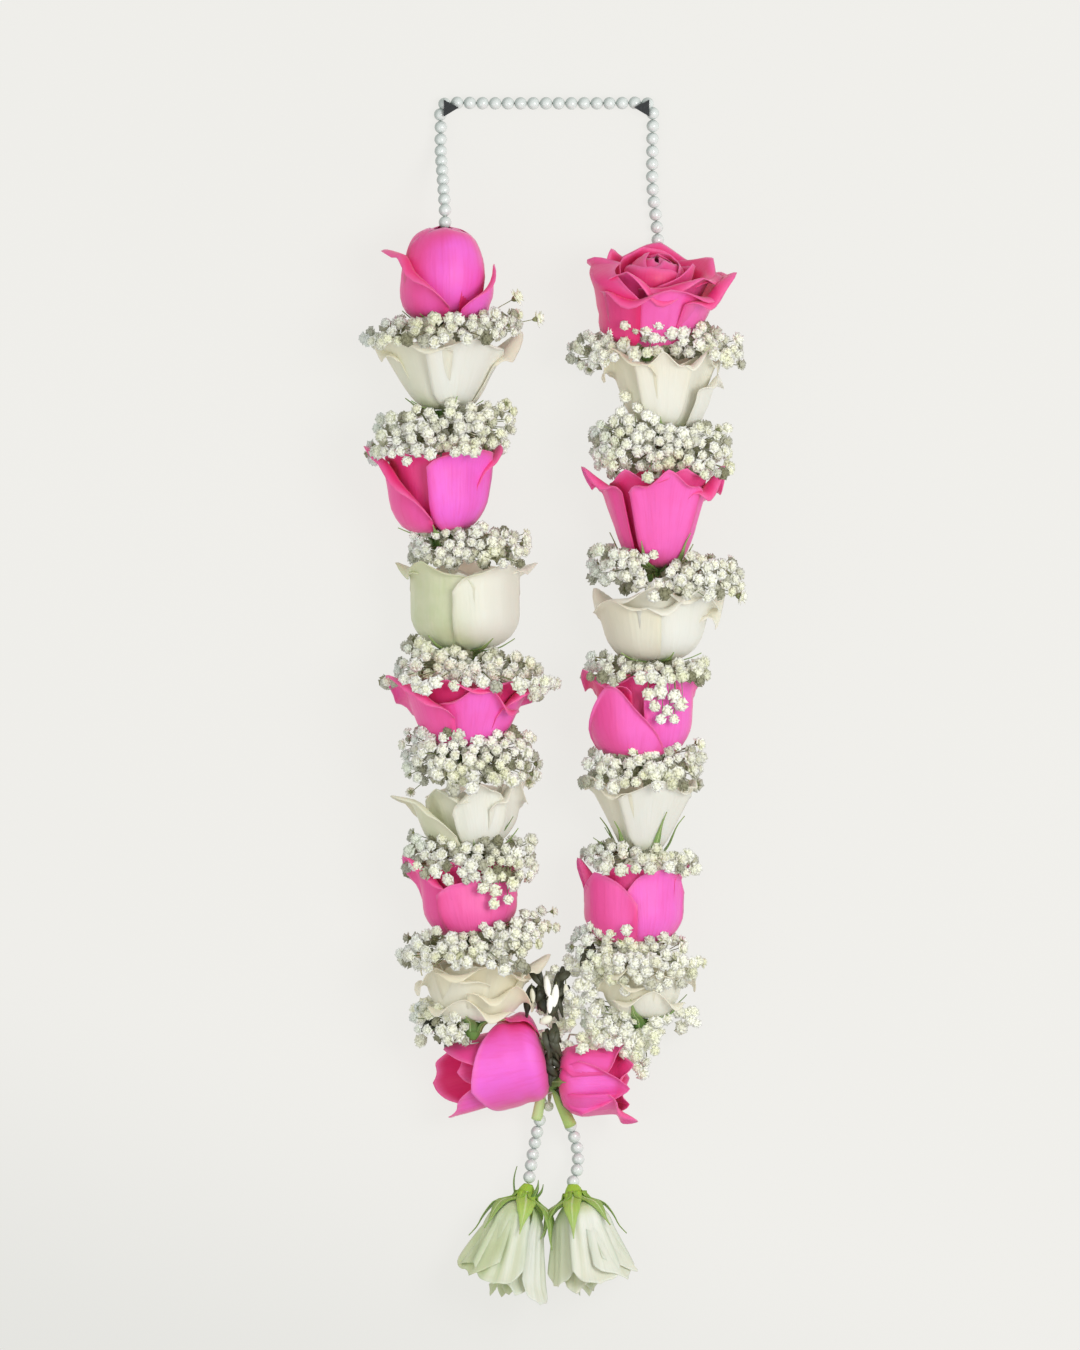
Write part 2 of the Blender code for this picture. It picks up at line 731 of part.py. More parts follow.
def pendant_route(side, bend):
    """The way from under the knot down to a pendant rose's hip."""
    rose = BY_NAME["pendant_" + side]
    lean = -1 if side == "left" else 1
    start = KNOT + Vector((lean * PENDANT_START.x, PENDANT_START.y, PENDANT_START.z))
    end = on_axis(rose, HIP_TOP - HIP_LENGTH - SEAT_GAP)
    middle = start.lerp(end, 0.5) + Vector((bend, 0, 0))
    bow = PENDANT_SAG + Vector((bend * PENDANT_BEND_SHARE, 0, 0))
    return [
        start,
        start.lerp(middle, 0.5) + bow,
        Vector((middle.x, middle.y, PEARL_RADIUS + PENDANT_LIFT)),
        middle.lerp(end, 0.5) + bow,
        end,
    ]


def make_pendant_pearls(garland, helpers):
    """The pendants' pearls: one string that passes under the knot and ends in both roses."""
    strings = []
    for side, bend in PENDANT_BEND.items():
        rose = BY_NAME["pendant_" + side]
        route = pendant_route(side, bend)
        length = sum((b - a).length for a, b in zip(route, route[1:]))
        tail = [route[-1], on_axis(rose, 6.0)]
        name = f"{side}_string"
        strings.append(bead_string(name, route, int(length / PEARL_PITCH), tail, helpers))
    left, right = (pendant_route(side, bend)[0] for side, bend in PENDANT_BEND.items())
    under = [left, left.lerp(right, 0.5) + Vector((0, 0.1, 0)), right]
    saddle = tube("saddle", under, [PEARL_NECK_RADIUS] * 3, 1, helpers)
    return fused("pendant_pearls", saddle, strings, garland)


def table_cutter(helpers):
    """The table's volume, which flattens the petals that rest on it."""
    bpy.ops.mesh.primitive_cube_add(size=1, location=(0, 0, -TABLE_SIZE[2] / 2))
    cutter = bpy.context.object
    cutter.name = "table_volume"
    cutter.scale = TABLE_SIZE
    bpy.ops.object.transform_apply(location=False, rotation=False, scale=True)
    for other in cutter.users_collection:
        other.objects.unlink(cutter)
    helpers.objects.link(cutter)
    cutter.hide_render = True
    cutter.display_type = "WIRE"
    return cutter


def paint(obj, materials):
    """Gives a node its material by what it is."""
    name = obj.name
    if name.endswith("_petals"):
        key = BY_NAME[name[: -len("_petals")]].colour
    elif name.endswith("_calyx"):
        key = "calyx"
    elif name.endswith("_breath"):
        key = "breath"
    elif name.endswith("_pearls"):
        key = "pearl"
    elif name.endswith("_stop"):
        key = "stop"
    else:
        key = "thread"
    obj.data.materials.clear()
    obj.data.materials.append(materials[key])


def room_beside_gap(side):
    """How far a shape may grow before it enters the gap between the strands."""
    sign, limit = (1, GAP_LEFT) if side == "left" else (-1, GAP_RIGHT)

    def allowed(start, way):
        room = (limit - start.x) * sign - 0.5
        return room / (way.x * sign) if way.x * sign > 0.02 else 99.0

    return allowed


def make_collars(blooms, calyces, thread, garland, helpers):
    """Every collar of baby's breath; the two lowest are one spray, joined by a bridge."""
    lowest = []
    for side, reaches in BREATH_REACH.items():
        for index, reach in enumerate(reaches, 1):
            upper, lower = f"{side}_{index}", f"{side}_{index + 1}"
            near = [blooms[upper], calyces[upper], blooms[lower], calyces[lower], thread]
            if index == STRAND_ROSES:
                other = "right_9" if side == "left" else "left_9"
                near += [blooms[other], calyces[other]]
            name = f"{side}_{index}_breath"
            tree = surface_of(near)
            room = room_beside_gap(side)
            pieces = make_collar(name, BY_NAME[upper], reach, room, helpers, tree)
            if index == STRAND_ROSES:
                lowest += pieces
            else:
                fused(name, pieces[0], pieces[1:], garland)
    pieces = make_bridge(helpers) + lowest
    fused("bottom_breath", pieces[0], pieces[1:], garland)


def main():
    clear_scene()
    garland = make_collection("flower_garland")
    helpers = make_collection("helpers")
    cutter = table_cutter(helpers)
    thread = make_thread(garland, helpers)
    blooms, calyces = {}, {}
    for rose in ROSES:
        blooms[rose.name] = make_bloom(rose, garland, helpers)
        calyces[rose.name] = make_calyx(rose, garland)
        cut(blooms[rose.name], cutter, "Flattened on the table")
        cut(calyces[rose.name], cutter, "Flattened on the table")
    make_neck_strand(garland)
    make_stop("left", garland)
    make_stop("right", garland)
    make_pendant_pearls(garland, helpers)
    bpy.context.view_layer.update()
    make_collars(blooms, calyces, thread, garland, helpers)
    materials = {name: make_material(name) for name in COLOURS}
    for obj in garland.objects:
        paint(obj, materials)
        obj.data.shade_smooth()
        obj.data.set_sharp_from_angle(angle=math.radians(30))


main()
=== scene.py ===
"""Looks of a flower garland laid flat: two strands of pink and white roses with baby's breath
between them, a neck strand of pearls, and two pearl pendants that end in a white rose.

Shapes are worked out in millimetres and made in metres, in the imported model's own frame.
"""

import math
import random
from collections import namedtuple

import bpy
import numpy as np
from mathutils import Matrix, Vector


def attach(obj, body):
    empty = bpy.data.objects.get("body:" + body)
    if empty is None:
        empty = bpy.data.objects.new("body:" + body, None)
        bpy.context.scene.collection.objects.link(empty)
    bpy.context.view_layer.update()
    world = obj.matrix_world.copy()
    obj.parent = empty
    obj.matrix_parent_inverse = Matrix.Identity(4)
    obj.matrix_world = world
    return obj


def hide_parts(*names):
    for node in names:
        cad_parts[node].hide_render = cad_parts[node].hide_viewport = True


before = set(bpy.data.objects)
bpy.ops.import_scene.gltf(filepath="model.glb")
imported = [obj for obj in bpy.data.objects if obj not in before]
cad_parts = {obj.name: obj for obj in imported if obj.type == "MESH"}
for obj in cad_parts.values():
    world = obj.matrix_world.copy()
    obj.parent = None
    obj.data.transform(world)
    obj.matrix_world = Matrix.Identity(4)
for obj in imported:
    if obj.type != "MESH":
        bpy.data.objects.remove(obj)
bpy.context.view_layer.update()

MM = 0.001
TAU = math.tau
UP = np.array((0.0, 0.0, 1.0))
# The way the light comes from; petals and pearls are painted palest where they face it.
TO_LIGHT = np.array((0.45, -0.10, 0.887))

# A rose: name, colour, place of its foot, the way it faces from above in degrees, how much that
# way is lifted, the turn of its sepals, height, radius at the belly and at the throat, flare of
# the rim, height and radius of the closed heart, share of the petals that the sepals cover, how
# far the heart closes over (1 is a bud), how green it is on its left side, away from the light,
# where the green is partly painted shade, and how cream a white one is or how warm a pink one.
Rose = namedtuple(
    "Rose",
    "name colour x y z heading lift spin height belly throat flare bud girth hug"
    " dome green cream",
)
# An outer petal: azimuth (0 faces up) and half width in degrees, share of full length, how far
# its rim rolls back, how pointed it is, how lit (1) or shaded (-1), how far its foot bulges,
# how far its rim flares, and how far its tip leans out in millimetres.
Petal = namedtuple("Petal", "azimuth half length roll point tint bulge flare lean",
                   defaults=(0.0, 0.0, 1.0, 1.0, 0.0))

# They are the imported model's roses, but for the last two of each strand, which are moved by up to
# 8 mm and turned by up to 11 degrees, and left_1, which is moved by 1 mm.
ROSES = [Rose(*row) for row in (
    ("left_1", "pink", -53, 178, 30.3, 90, 0, 30, 37, 20, 20, 9.5, 47, 19.6, 0.3, 1, 0, 0),
    ("left_2", "white", -53, 137, 31.64, 90, 0, 10, 33, 20, 29, 6, 21, 12, 0.3, 0, 0.28, 0.45),
    ("left_3", "pink", -54, 78, 27.48, 92, 0, 52, 40, 22.5, 25.5, 5.5, 24, 14, 0.3, 0, 0, 0),
    ("left_4", "white", -43, 23, 27.43, 90, 0, 20, 41, 26, 26, 5.5, 25, 15, 0.34, 0, 1.35, 0.35),
    ("left_5", "pink", -42, -23, 38.62, 89, 0, 40, 32, 22.5, 30.5, 7.5, 19, 14, 0.28, 0, 0, 0.5),
    ("left_6", "white", -38, -71, 29.05, 97, 0, 64, 31, 21, 26, 6.5, 18, 12, 0.4, 0, 0.45, 0.3),
    ("left_7", "pink", -41, -112, 26.25, 92, 0, 25, 34, 21, 22.5, 4, 20, 13, 0.28, 0, 0, 1.1),
    ("left_8", "white", -39, -151.5, 32, 86, 0, 48, 29, 22, 28.5, 6, 19, 13, 0.28, 0, 0.1, 0.95),
    ("left_9", "pink", -4, -168, 18.74, 194, 0, 30, 47, 17.5, 18, 2.5, 38, 15, 0.22, 0.3, 0, 0),
    ("right_1", "pink", 44, 169, 23.06, 84, 16, 36, 40, 23, 30, 6.5, 42, 17, 0.34, 0.45, 0, 1.1),
    ("right_2", "white", 51, 127, 28.41, 90, 0, 60, 36, 20, 26, 5, 20, 12, 0.3, 0, 0.25, 0.6),
    ("right_3", "pink", 48, 62, 29.16, 90, 0, 36, 45, 19.5, 27, 4.5, 27, 12, 0.42, 0, 0, 0.75),
    ("right_4", "white", 48, 18, 29.94, 92, 0, 14, 32, 23, 28, 4.5, 19, 14, 0.34, 0, 0.05, 0.55),
    ("right_5", "pink", 42, -28, 28.88, 92, 0, 45, 40, 23, 24.5, 4.5, 25, 14, 0.28, 0, 0, 0.8),
    ("right_6", "white", 41, -73, 24.52, 90, 0, 20, 34, 14.5, 23.5, 2.5, 20, 9, 0.62, 0, 0.2, 0.5),
    ("right_7", "pink", 38, -116, 26.04, 90, 0, 30, 37, 23, 24, 3, 22, 14, 0.28, 0, 0, 0.75),
    ("right_8", "white", 41, -150, 23.46, 88, 0, 50, 27, 18.5, 22, 3.5, 19, 11, 0.44, 0, 0.2, 0.75),
    ("right_9", "pink", 1.5, -180, 18.69, 3, 0, 62, 31, 16.5, 16.5, 2.5, 22, 13, 0.3, 0, 0, 0.5),
    ("pendant_left", "pendant", -14.6, -237.5, 13.36, 257, 8, 36, 45, 13.5, 17.5, 3, 27, 8, 0.46, 0, 1, 0.2),
    ("pendant_right", "pendant", 9.6, -237.5, 13.83, 279, 8, 0, 44, 13.5, 17, 3, 26, 8, 0.46, 0, 0.38, 0.3),
)]
BY_NAME = {rose.name: rose for rose in ROSES}

# The outer petals of each rose, from the outermost in.
OUTER_PETALS = {
    "left_1": (
        (84, 62, 0.66, 4, 0.7, 0.3, 1.27, 1.2, 5), (-84, 92, 0.84, 9, 0.8, 0.1, 1.14, 1.7, 1),
        (74, 46, 1.08, 1, 0.4, -0.8, 1.08, -0.9), (178, 60, 0.85, 6),
    ),
    "left_2": (
        (108, 46, 1, 10, 0.3, -0.8), (30, 46, 0.98, 4, 0, 1), (-40, 50, 1, 6, 0, -0.2),
        (-104, 50, 1.02, 9, 0.3, -0.7), (178, 60, 1, 5),
    ),
    "left_3": (
        (-88, 78, 0.98, 8, 0.8, -0.1), (34, 46, 1.02, 3, 0, 1), (98, 44, 0.94, 9, 0.3, 0.4),
        (-46, 52, 1, 3, 0, -1), (178, 60, 1, 4),
    ),
    "left_4": (
        (40, 52, 1, 4, 0.15, -0.1, 0.84), (-44, 56, 1, 4, 0.1, -0.25, 0.84),
        (108, 46, 0.98, 6, 0, 0.3, 0.84, 2), (-106, 46, 0.98, 6, 0, -0.2, 0.84, 2), (178, 60, 1, 5),
    ),
    "left_5": (
        (-66, 54, 1, 8, 0.5, 0), (14, 50, 0.84, 7, 0.2, 0.5), (80, 46, 1.02, 7, 0.5, 0.2),
        (-16, 52, 0.98, 5, 0, -1), (48, 50, 1, 5, 0, -0.8), (178, 60, 1, 6),
    ),
    "left_6": (
        (-76, 56, 0.92, 5, 0.7, -1, 1.1, 1.5), (12, 32, 0.96, 6, 0.3, 0.3),
        (60, 36, 0.92, 8, 0.3, 0.1), (-30, 38, 0.98, 6, 0.3, -0.4), (178, 60, 1, 5),
        (112, 46, 1, 6),
    ),
    "left_7": (
        (26, 62, 0.86, 3, 0.1, 0.1), (-66, 48, 1.08, 7, 0.5, 0.4), (110, 46, 1, 7, 0, 0.4),
        (-18, 46, 1, 4, 0, -1), (40, 46, 1, 4, 0, -0.6), (178, 60, 1, 4),
    ),
    "left_8": (
        (-10, 66, 0.42, 7, 0, 0.2), (52, 60, 0.6, 9, 0, -0.5), (-46, 62, 0.74, 9, 0, 0.3),
        (16, 66, 0.86, 8, 0, -0.4), (104, 46, 1.1, 9, 0.4, 0.2), (178, 60, 1, 6),
        (-108, 46, 1, 9, 0, -0.4),
    ),
    "left_9": (
        (94, 44, 0.5, 1, 0.5, 0.3, 1.66, 0), (-25, 95, 0.83, 1, 0.45, 0.6, 1.52, 0.5),
        (62, 60, 0.99, 1, 0.25, -0.5, 1.4, 0), (-80, 60, 1.06, 1.5, 0.1, 0.2, 1.46, 0),
        (178, 70, 1.1, 2, 0, 0, 1.1, 0), (14, 56, 0.92, 1, 0.1, -1, 1, 0),
    ),
    "right_1": (
        (14, 64, 0.86, 8, 0, 0.6, 1.15), (-66, 56, 0.94, 3, 0.2, -0.9, 1.5, -2, -4),
        (80, 52, 0.92, 8, 0.1, 0.5, 1.4, 0.8), (-26, 60, 0.94, 9, 0, 0.6, 1, 0.6),
        (44, 60, 0.97, 8, 0, 0, 1, 1), (178, 64, 0.93, 5, 0, -0.5, 1, 0.6),
        (112, 58, 0.96, 6, 0, -0.2, 1, 0.8), (-108, 66, 0.94, 4, 0, -0.6, 1, 0.2),
    ),
    "right_2": (
        (84, 44, 0.7, 6, 0, 1, 1.12), (0, 30, 0.98, 5, 0, 0), (-50, 42, 1.02, 10, 0.2, -0.9),
        (50, 34, 0.98, 7, 0, 0.5), (178, 60, 1, 5), (112, 46, 1, 8), (-112, 46, 1, 9, 0, -0.5),
    ),
    "right_3": (
        (10, 38, 0.98, 5, 0, 0.3), (-74, 35, 1, 7, 0.1, 0, 1, 1.4), (76, 42, 1, 11, 0.2, 0.5),
        (30, 42, 1.03, 4, 0, -0.3), (-32, 42, 1, 3, 0, -1), (178, 60, 1.08, 4, 0, -0.5),
    ),
    "right_4": (
        (-46, 52, 0.9, 6, 0, -0.8, 0.9), (42, 60, 0.96, 9, 0.1, 1, 0.88),
        (106, 44, 1, 12, 0.4, 0.6, 0.88), (0, 60, 1.06, 7, 0, 0.5, 0.9), (178, 60, 1, 5),
        (-112, 46, 1, 9, 0.2, 0.1),
    ),
    "right_5": (
        (-34, 62, 0.86, 3, 1, 0.5, 1.1), (52, 50, 0.98, 5, 0.1, 0.9), (-64, 52, 1, 7, 0.1, -1),
        (4, 50, 1.02, 4, 0, -0.5), (178, 60, 1, 5), (118, 46, 1, 5),
    ),
    "right_6": (
        (22, 50, 0.98, 4, 0, 0.8), (-62, 50, 1, 6, 0, -0.5), (94, 44, 1, 6, 0, -0.1),
        (178, 60, 1, 4), (-130, 46, 1, 5),
    ),
    "right_7": (
        (-48, 50, 0.92, 2, 0.2, 0), (32, 44, 0.98, 2, 0.1, 0.9), (92, 40, 1, 4, 0, 0.5),
        (-96, 40, 1.02, 9, 0.5, 0.3), (-10, 50, 1.04, 2, 0, -0.3), (178, 60, 1, 4),
    ),
    "right_8": (
        (14, 62, 0.5, 7, 0, 0.3), (-44, 60, 0.66, 8, 0, -0.4), (66, 56, 0.8, 8, 0, 0.4),
        (0, 62, 0.94, 7, 0, -0.3), (178, 60, 1, 5), (-116, 46, 1, 6), (116, 46, 1, 6),
    ),
    "right_9": (
        (76, 54, 1.06, 5, 0.2, 0.7, 1.1), (14, 42, 1, 5, 0.7, 0.6, 1.25),
        (-66, 60, 1, 3, 0.1, 0.3, 1.55, 0.3), (50, 44, 1.02, 4, 0, -0.6, 1.1),
        (-20, 46, 1.1, 4, 0, -1, 1.2), (178, 60, 1, 4),
    ),
    "pendant_left": (
        (14, 32, 1, 0.6, 0, 0, 1.35, 1, 3), (46, 34, 0.92, 0.6, 0, -0.4, 1.4, 1, 6),
        (-48, 27, 1.08, 0.6, 0, 0.8, 1.25, 1, 3), (68, 46, 0.8, 0.6, 0, -1, 1.55, 1, 10),
        (-18, 30, 1.02, 0.6, 0, 0.4, 1.3, 1, 2), (-82, 30, 0.76, 0.6, 0, 0, 1.2, 1, 3),
        (126, 40, 0.8, 1), (178, 40, 0.92, 1), (-128, 40, 0.82, 1),
    ),
    "pendant_right": (
        (-14, 30, 1, 0.6, 0, 0.4, 1.35, 1, 3), (-44, 34, 0.94, 0.6, 0, 0.6, 1.4, 1, 6),
        (46, 30, 0.92, 0.6, 0, -0.4, 1.25, 1, 3), (-68, 46, 0.84, 0.6, 0, 0.5, 1.55, 1, 10),
        (18, 30, 1.02, 0.6, 0, 0.1, 1.3, 1, 2), (82, 30, 0.76, 0.6, 0, -0.6, 1.2, 1, 1),
        (-126, 40, 0.8, 1), (178, 40, 0.92, 1), (128, 40, 0.82, 1),
    ),
}

# The inner petals of a rose, and the angle from one to the next.
INNER_PETALS = 9
SPIRAL_TURN = 137.5
# Roses whose inner petals end short, so that their mouth shows as a dark hollow.
HOLLOW = {"left_9": 0.66, "left_7": 0.85, "left_5": 0.9}
# How much nearer to the axis each outer petal stands than the one before, how far its sides
# stand off, the share of a rolled rim that its length makes good, and how much shorter the
# petals are that face up than those that face down.
PETAL_STEP = 1.35
PETAL_EDGE = 2.0
ROLL_MADE_GOOD = 0.55
OPENING_TILT = 0.03
# Depth of the flutes along a petal.
FLUTES = {"pink": 0.12, "white": 0.12, "pendant": 0.4}
# Rows below the rim, rows in the rim and columns of a petal's sheet, and where along it the
# rows below end and those in the rim begin.
OUTER_GRID = (10, 9, 21)
INNER_GRID = (7, 6, 17)
RIM_SPAN = (0.74, 0.78)
# How a petal's edge falls away to its sides, round and pointed: depth and power.
ROUND_FALL = (0.17, 2.8)
POINTED_FALL = (0.74, 1.8)
# A petal's thickness at its foot, and how much of it is gone at its rim.
PETAL_THICKNESS = (0.55, 0.25)
# The radius at which petals start, and the top and length of the hip under them.
PETAL_ROOT = 4.8
HIP_TOP = -1.5
HIP_LENGTH = 7.5
# What comes nearer to the table than this is pressed flat on it, but for a small share.
TOUCH_DEPTH = 1.4
PRESSED_SHARE = 0.09
LOWEST = 0.05

# Each collar of baby's breath: the left end, middle and right end of its band as seen from
# above, and half the band's width, in millimetres.
COLLARS = {
    "left_1": ((-84, 172), (-50, 176), (-17, 178), 7.1),
    "left_2": ((-83, 123), (-53, 127), (-21, 130), 11.3),
    "left_3": ((-67, 72), (-40, 73), (-14, 73), 8.5),
    "left_4": ((-73, 18), (-47, 15), (-9, 11), 9.9),
    "left_5": ((-69, -25), (-40, -29), (-11, -25), 12.7),
    "left_6": ((-69, -71), (-42, -76), (-11, -75), 10.4),
    "left_7": ((-69, -118), (-35, -117), (-4, -106), 9.4),
    "left_8": ((-64, -150), (-52, -153), (-40, -156), 8),
    "right_1": ((10, 163), (50, 173), (87, 164), 9),
    "right_2": ((18, 120), (47, 119), (81, 118), 11.8),
    "right_3": ((18, 65), (50, 58), (87, 59), 9.4),
    "right_4": ((17, 19), (45, 12), (70, 14), 6.1),
    "right_5": ((16, -32), (42, -33), (68, -27), 9.4),
    "right_6": ((17, -72), (44, -76), (65, -76), 6.6),
    "right_7": ((12, -116), (38, -124), (60, -123), 12.3),
    "right_8": ((14, -146), (31, -158), (42, -171), 8.5),
}
# Florets of a collar that lie over the rose beside it: their middles.
OVERHANGING = {
    "right_4": ((44, 3, 57), (50, 4, 56), (56, 2, 54), (47, -3, 58), (53, -5, 56), (59, -2, 52),
                (50, -9, 57), (56, -9, 53)),
    "left_6": ((-31, -84, 50), (-25, -83, 48), (-20, -87, 45), (-28, -90, 50), (-34, -89, 52),
               (-22, -94, 46), (-29, -96, 50)),
    "right_2": ((31, 136, 40), (35, 132, 42), (39, 138, 46), (33, 143, 42), (43, 134, 49)),
}
# Florets that stray from a collar on long stems: their middles and size.
STRAYS = {"left_1": ((-18, 190, 34), (-8, 180, 30)), "right_3": ((88, 49, 26),)}
STRAY_SIZE = 4.8
# Bare spots in the collars, where sepals and stems show: x, y and radius.
BARE = {"right_3": (47, 61, 6.5), "left_4": (-37, 20, 3), "left_2": (-64, 132, 3.5),
        "right_1": (41, 166, 4.5), "left_3": (-58, 74, 4)}
# The least distance between two florets' middles on top of a collar.
FLORET_SPACING = 4.7
# The share of florets that stand out of the crowd on a longer stem, and how far.
SPRIGS = 0.14
SPRIG_LENGTH = (2.5, 5.5)
# How far to either side of the garland's middle the outermost of them stand.
SPRIG_REACH = 87.0
# Collars whose low florets get less painted shade than elsewhere, and the share of it they keep.
LOW_SHADE_SCALE = {"right_7": 0.45, "right_8": 0.2}
# A floret's radius, how high its middle may be, and the radius of its stem at the root.
FLORET_SIZE = (2.5, 3.9)
FLORET_TOP = 71.0
STEM_RADIUS = 0.32
# Places tried for florets in each collar, and one in how many of them is under the strand.
COLLAR_TRIES = 3600
TRIES_BELOW = 4

# A pearl's radius, and how many faces go round it.
PEARL_RADIUS = 3.0
PEARL_SIDES = 20
# The drilled hole: half its angle at the pearl's middle, and the depth that its dimple reaches
# as a share of the radius.
PEARL_HOLE = 0.16
PEARL_DIMPLE = 0.93
# The pearls of the neck strand, and of the two that hang.
NECK_BEADS = 44
PENDANT_BEADS = (6, 6)
# The pearls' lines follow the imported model's, but for the neck strand's two ends: the left
# slopes more gently, and the right runs under the rose.
NECK_ROUTE = (
    (-52.0, 222.4, 30.3), (-52.0, 231.5, 29.0), (-53.0, 246.04, 18.0), (-54.0, 259.3, 7.0),
    (-54.0, 270.65, 3.2), (-54.0, 278.6, 3.1), (-50.6, 282.0, 3.1), (-27.0, 282.0, 3.1),
    (23.0, 282.0, 3.1), (42.6, 282.0, 3.1), (46.0, 278.6, 3.1), (46.0, 262.72, 3.1),
    (46.0, 243.44, 3.1), (47.5, 229.01, 3.1), (48.6, 216.59, 3.1), (49.0, 196.0, 3.1),
)
PENDANT_ROUTES = (
    ((-6.6, -195.6, 11.0), (-8.46, -203.83, 8.77), (-10.06, -212.06, 5.0),
     (-11.42, -220.29, 9.3), (-12.53, -228.53, 12.07)),
    ((6.2, -198.4, 10.0), (8.2, -203.8, 8.89), (10.38, -212.0, 5.0),
     (10.77, -220.2, 9.66), (8.16, -228.4, 12.54)),
)
# The knot where the strands meet: its middle, and the radii and heights of its shape.
KNOT = np.array((-3.0, -192.0, 12.0))
KNOT_PROFILE = ((0, -2.4), (1.3, -2.0), (2.2, -0.9), (2.4, 0.2), (2.0, 1.3), (1.1, 2.1), (0, 2.4))
# Half the thickness of the string through the flowers, and of the pearls' own.
THREAD_RADIUS = 0.5
STRING_RADIUS = 0.45
# The string's way from each strand's last hip but one to the knot, and from the knot into the
# last roses' hips.
THREAD_ENDS = {
    "left": ((-26, -160, 17), (-6, -156, 12), (-1, -178, 4.5), KNOT),
    "right": ((26, -159, 26), (7, -158, 12), (0, -177, 4.5), KNOT),
}
THREAD_BRANCHES = (
    (KNOT, (-3, -181, 6), (6, -171, 9), (8, -165, 16), (4.06, -166.77, 18.74),
     (-6.81, -171.85, 18.74)),
    (KNOT, (-5.5, -187, 15), (-0.95, -184.55, 18.69), (10.99, -183.29, 18.69)),
)


# Shapes.


def smooth(low, high, value):
    """0 below low, 1 above high, with a soft step between."""
    share = np.clip((value - low) / (high - low), 0, 1)
    return share * share * (3 - 2 * share)


def curve_through(controls, count=72):
    """Evenly shared samples of a smooth curve through control points."""
    c = np.asarray(controls, float)
    place = np.linspace(0, len(c) - 1.0001, count)
    i = place.astype(int)
    f = (place - i)[:, None]
    a, b, d, e = c[np.maximum(i - 1, 0)], c[i], c[i + 1], c[np.minimum(i + 2, len(c) - 1)]
    return 0.5 * (2 * b + (d - a) * f + (2 * a - 5 * b + 4 * d - e) * f**2
                  + (3 * b - a - 3 * d + e) * f**3)


def run_of(points):
    """Distance along a line of points, at each of them."""
    return np.concatenate(([0], np.cumsum(np.linalg.norm(np.diff(points, axis=0), axis=1))))


def frame_of(rose):
    """A rose's turn and place: its own Z points to the open end, and its X side faces up."""
    heading, lift = math.radians(rose.heading), math.radians(rose.lift)
    axis = np.array((math.cos(heading) * math.cos(lift),
                     math.sin(heading) * math.cos(lift), math.sin(lift)))
    side = UP - UP.dot(axis) * axis
    side /= np.linalg.norm(side)
    return np.column_stack((side, np.cross(axis, side), axis)), np.array((rose.x, rose.y, rose.z))


FRAMES = {rose.name: frame_of(rose) for rose in ROSES}


def on_axis(rose, height):
    """A point on a rose's own axis."""
    turn, place = FRAMES[rose.name]
    return place + turn[:, 2] * height


def on_table(points, depth=TOUCH_DEPTH):
    """Presses what would sink into the table flat on it."""
    z = points[..., 2]
    pressed = np.maximum(depth + (z - depth) * PRESSED_SHARE, LOWEST)
    points[..., 2] = np.where(z < depth, pressed, z)
    return points


def new_object(name, data):
    """An object of the scene for a mesh, lamp or camera."""
    obj = bpy.data.objects.new(name, data)
    bpy.context.scene.collection.objects.link(obj)
    return obj


# Which of its piece's materials a surface has, where that isn't the first.
STEM_SKIN, LEAF_SKIN = 1, 2
STRING_SKIN = 1


class Pile:
    """Collects surfaces with their marks and hues, then makes one smooth piece of them.

    A petal's point has four marks: how far along and across the petal it is, the petal's tone,
    and whether it is on the back. Its hues say how lit, green, cream and shaded it is. Sepals,
    florets and pearls use them in their own way, as their paints read them.
    """

    def __init__(self):
        self.points, self.faces, self.marks, self.hues, self.skins = [], [], [], [], []
        self.count = 0

    def add(self, points, faces, marks, hues=None, skin=0):
        points = np.asarray(points, float).reshape(-1, 3)
        marks = np.broadcast_to(np.asarray(marks, float), (len(points), 4))
        hues = np.zeros(4) if hues is None else hues
        hues = np.broadcast_to(np.asarray(hues, float), (len(points), 4))
        self.points.append(points)
        self.marks.append(marks)
        self.hues.append(hues)
        for block in faces if isinstance(faces, list) else [faces]:
            block = np.asarray(block) + self.count
            self.faces += block.tolist()
            self.skins += [skin] * len(block)
        self.count += len(points)

    def make(self, name, nodes, materials):
        mesh = bpy.data.meshes.new(name)
        points = np.concatenate(self.points) * MM
        mesh.from_pydata(points.tolist(), [], self.faces)
        for label, values in (("marks", self.marks), ("hues", self.hues)):
            layer = mesh.attributes.new(label, "FLOAT_COLOR", "POINT")
            layer.data.foreach_set("color", np.concatenate(values).astype(np.float32).ravel())
        for material in materials:
            mesh.materials.append(material)
        mesh.polygons.foreach_set("material_index", self.skins)
        mesh.polygons.foreach_set("use_smooth", [True] * len(self.faces))
        mesh.update()
        obj = new_object(name, mesh)
        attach(obj, "root")
        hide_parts(*nodes)


def grid_faces(rows, columns, start=0, closed=False):
    """Quads between a grid's points, row by row; closed joins the last column to the first."""
    i = np.arange(rows - 1)[:, None] * columns
    j = np.arange(columns if closed else columns - 1)[None, :]
    k = (j + 1) % columns
    quads = np.stack((i + j, i + k, i + columns + k, i + columns + j), axis=-1)
    return quads.reshape(-1, 4) + start


def grid_normals(points):
    """The way each point of a grid faces."""
    across = np.gradient(points, axis=1)
    along = np.gradient(points, axis=0)
    normals = np.cross(across, along)
    return normals / np.maximum(np.linalg.norm(normals, axis=2, keepdims=True), 1e-9)


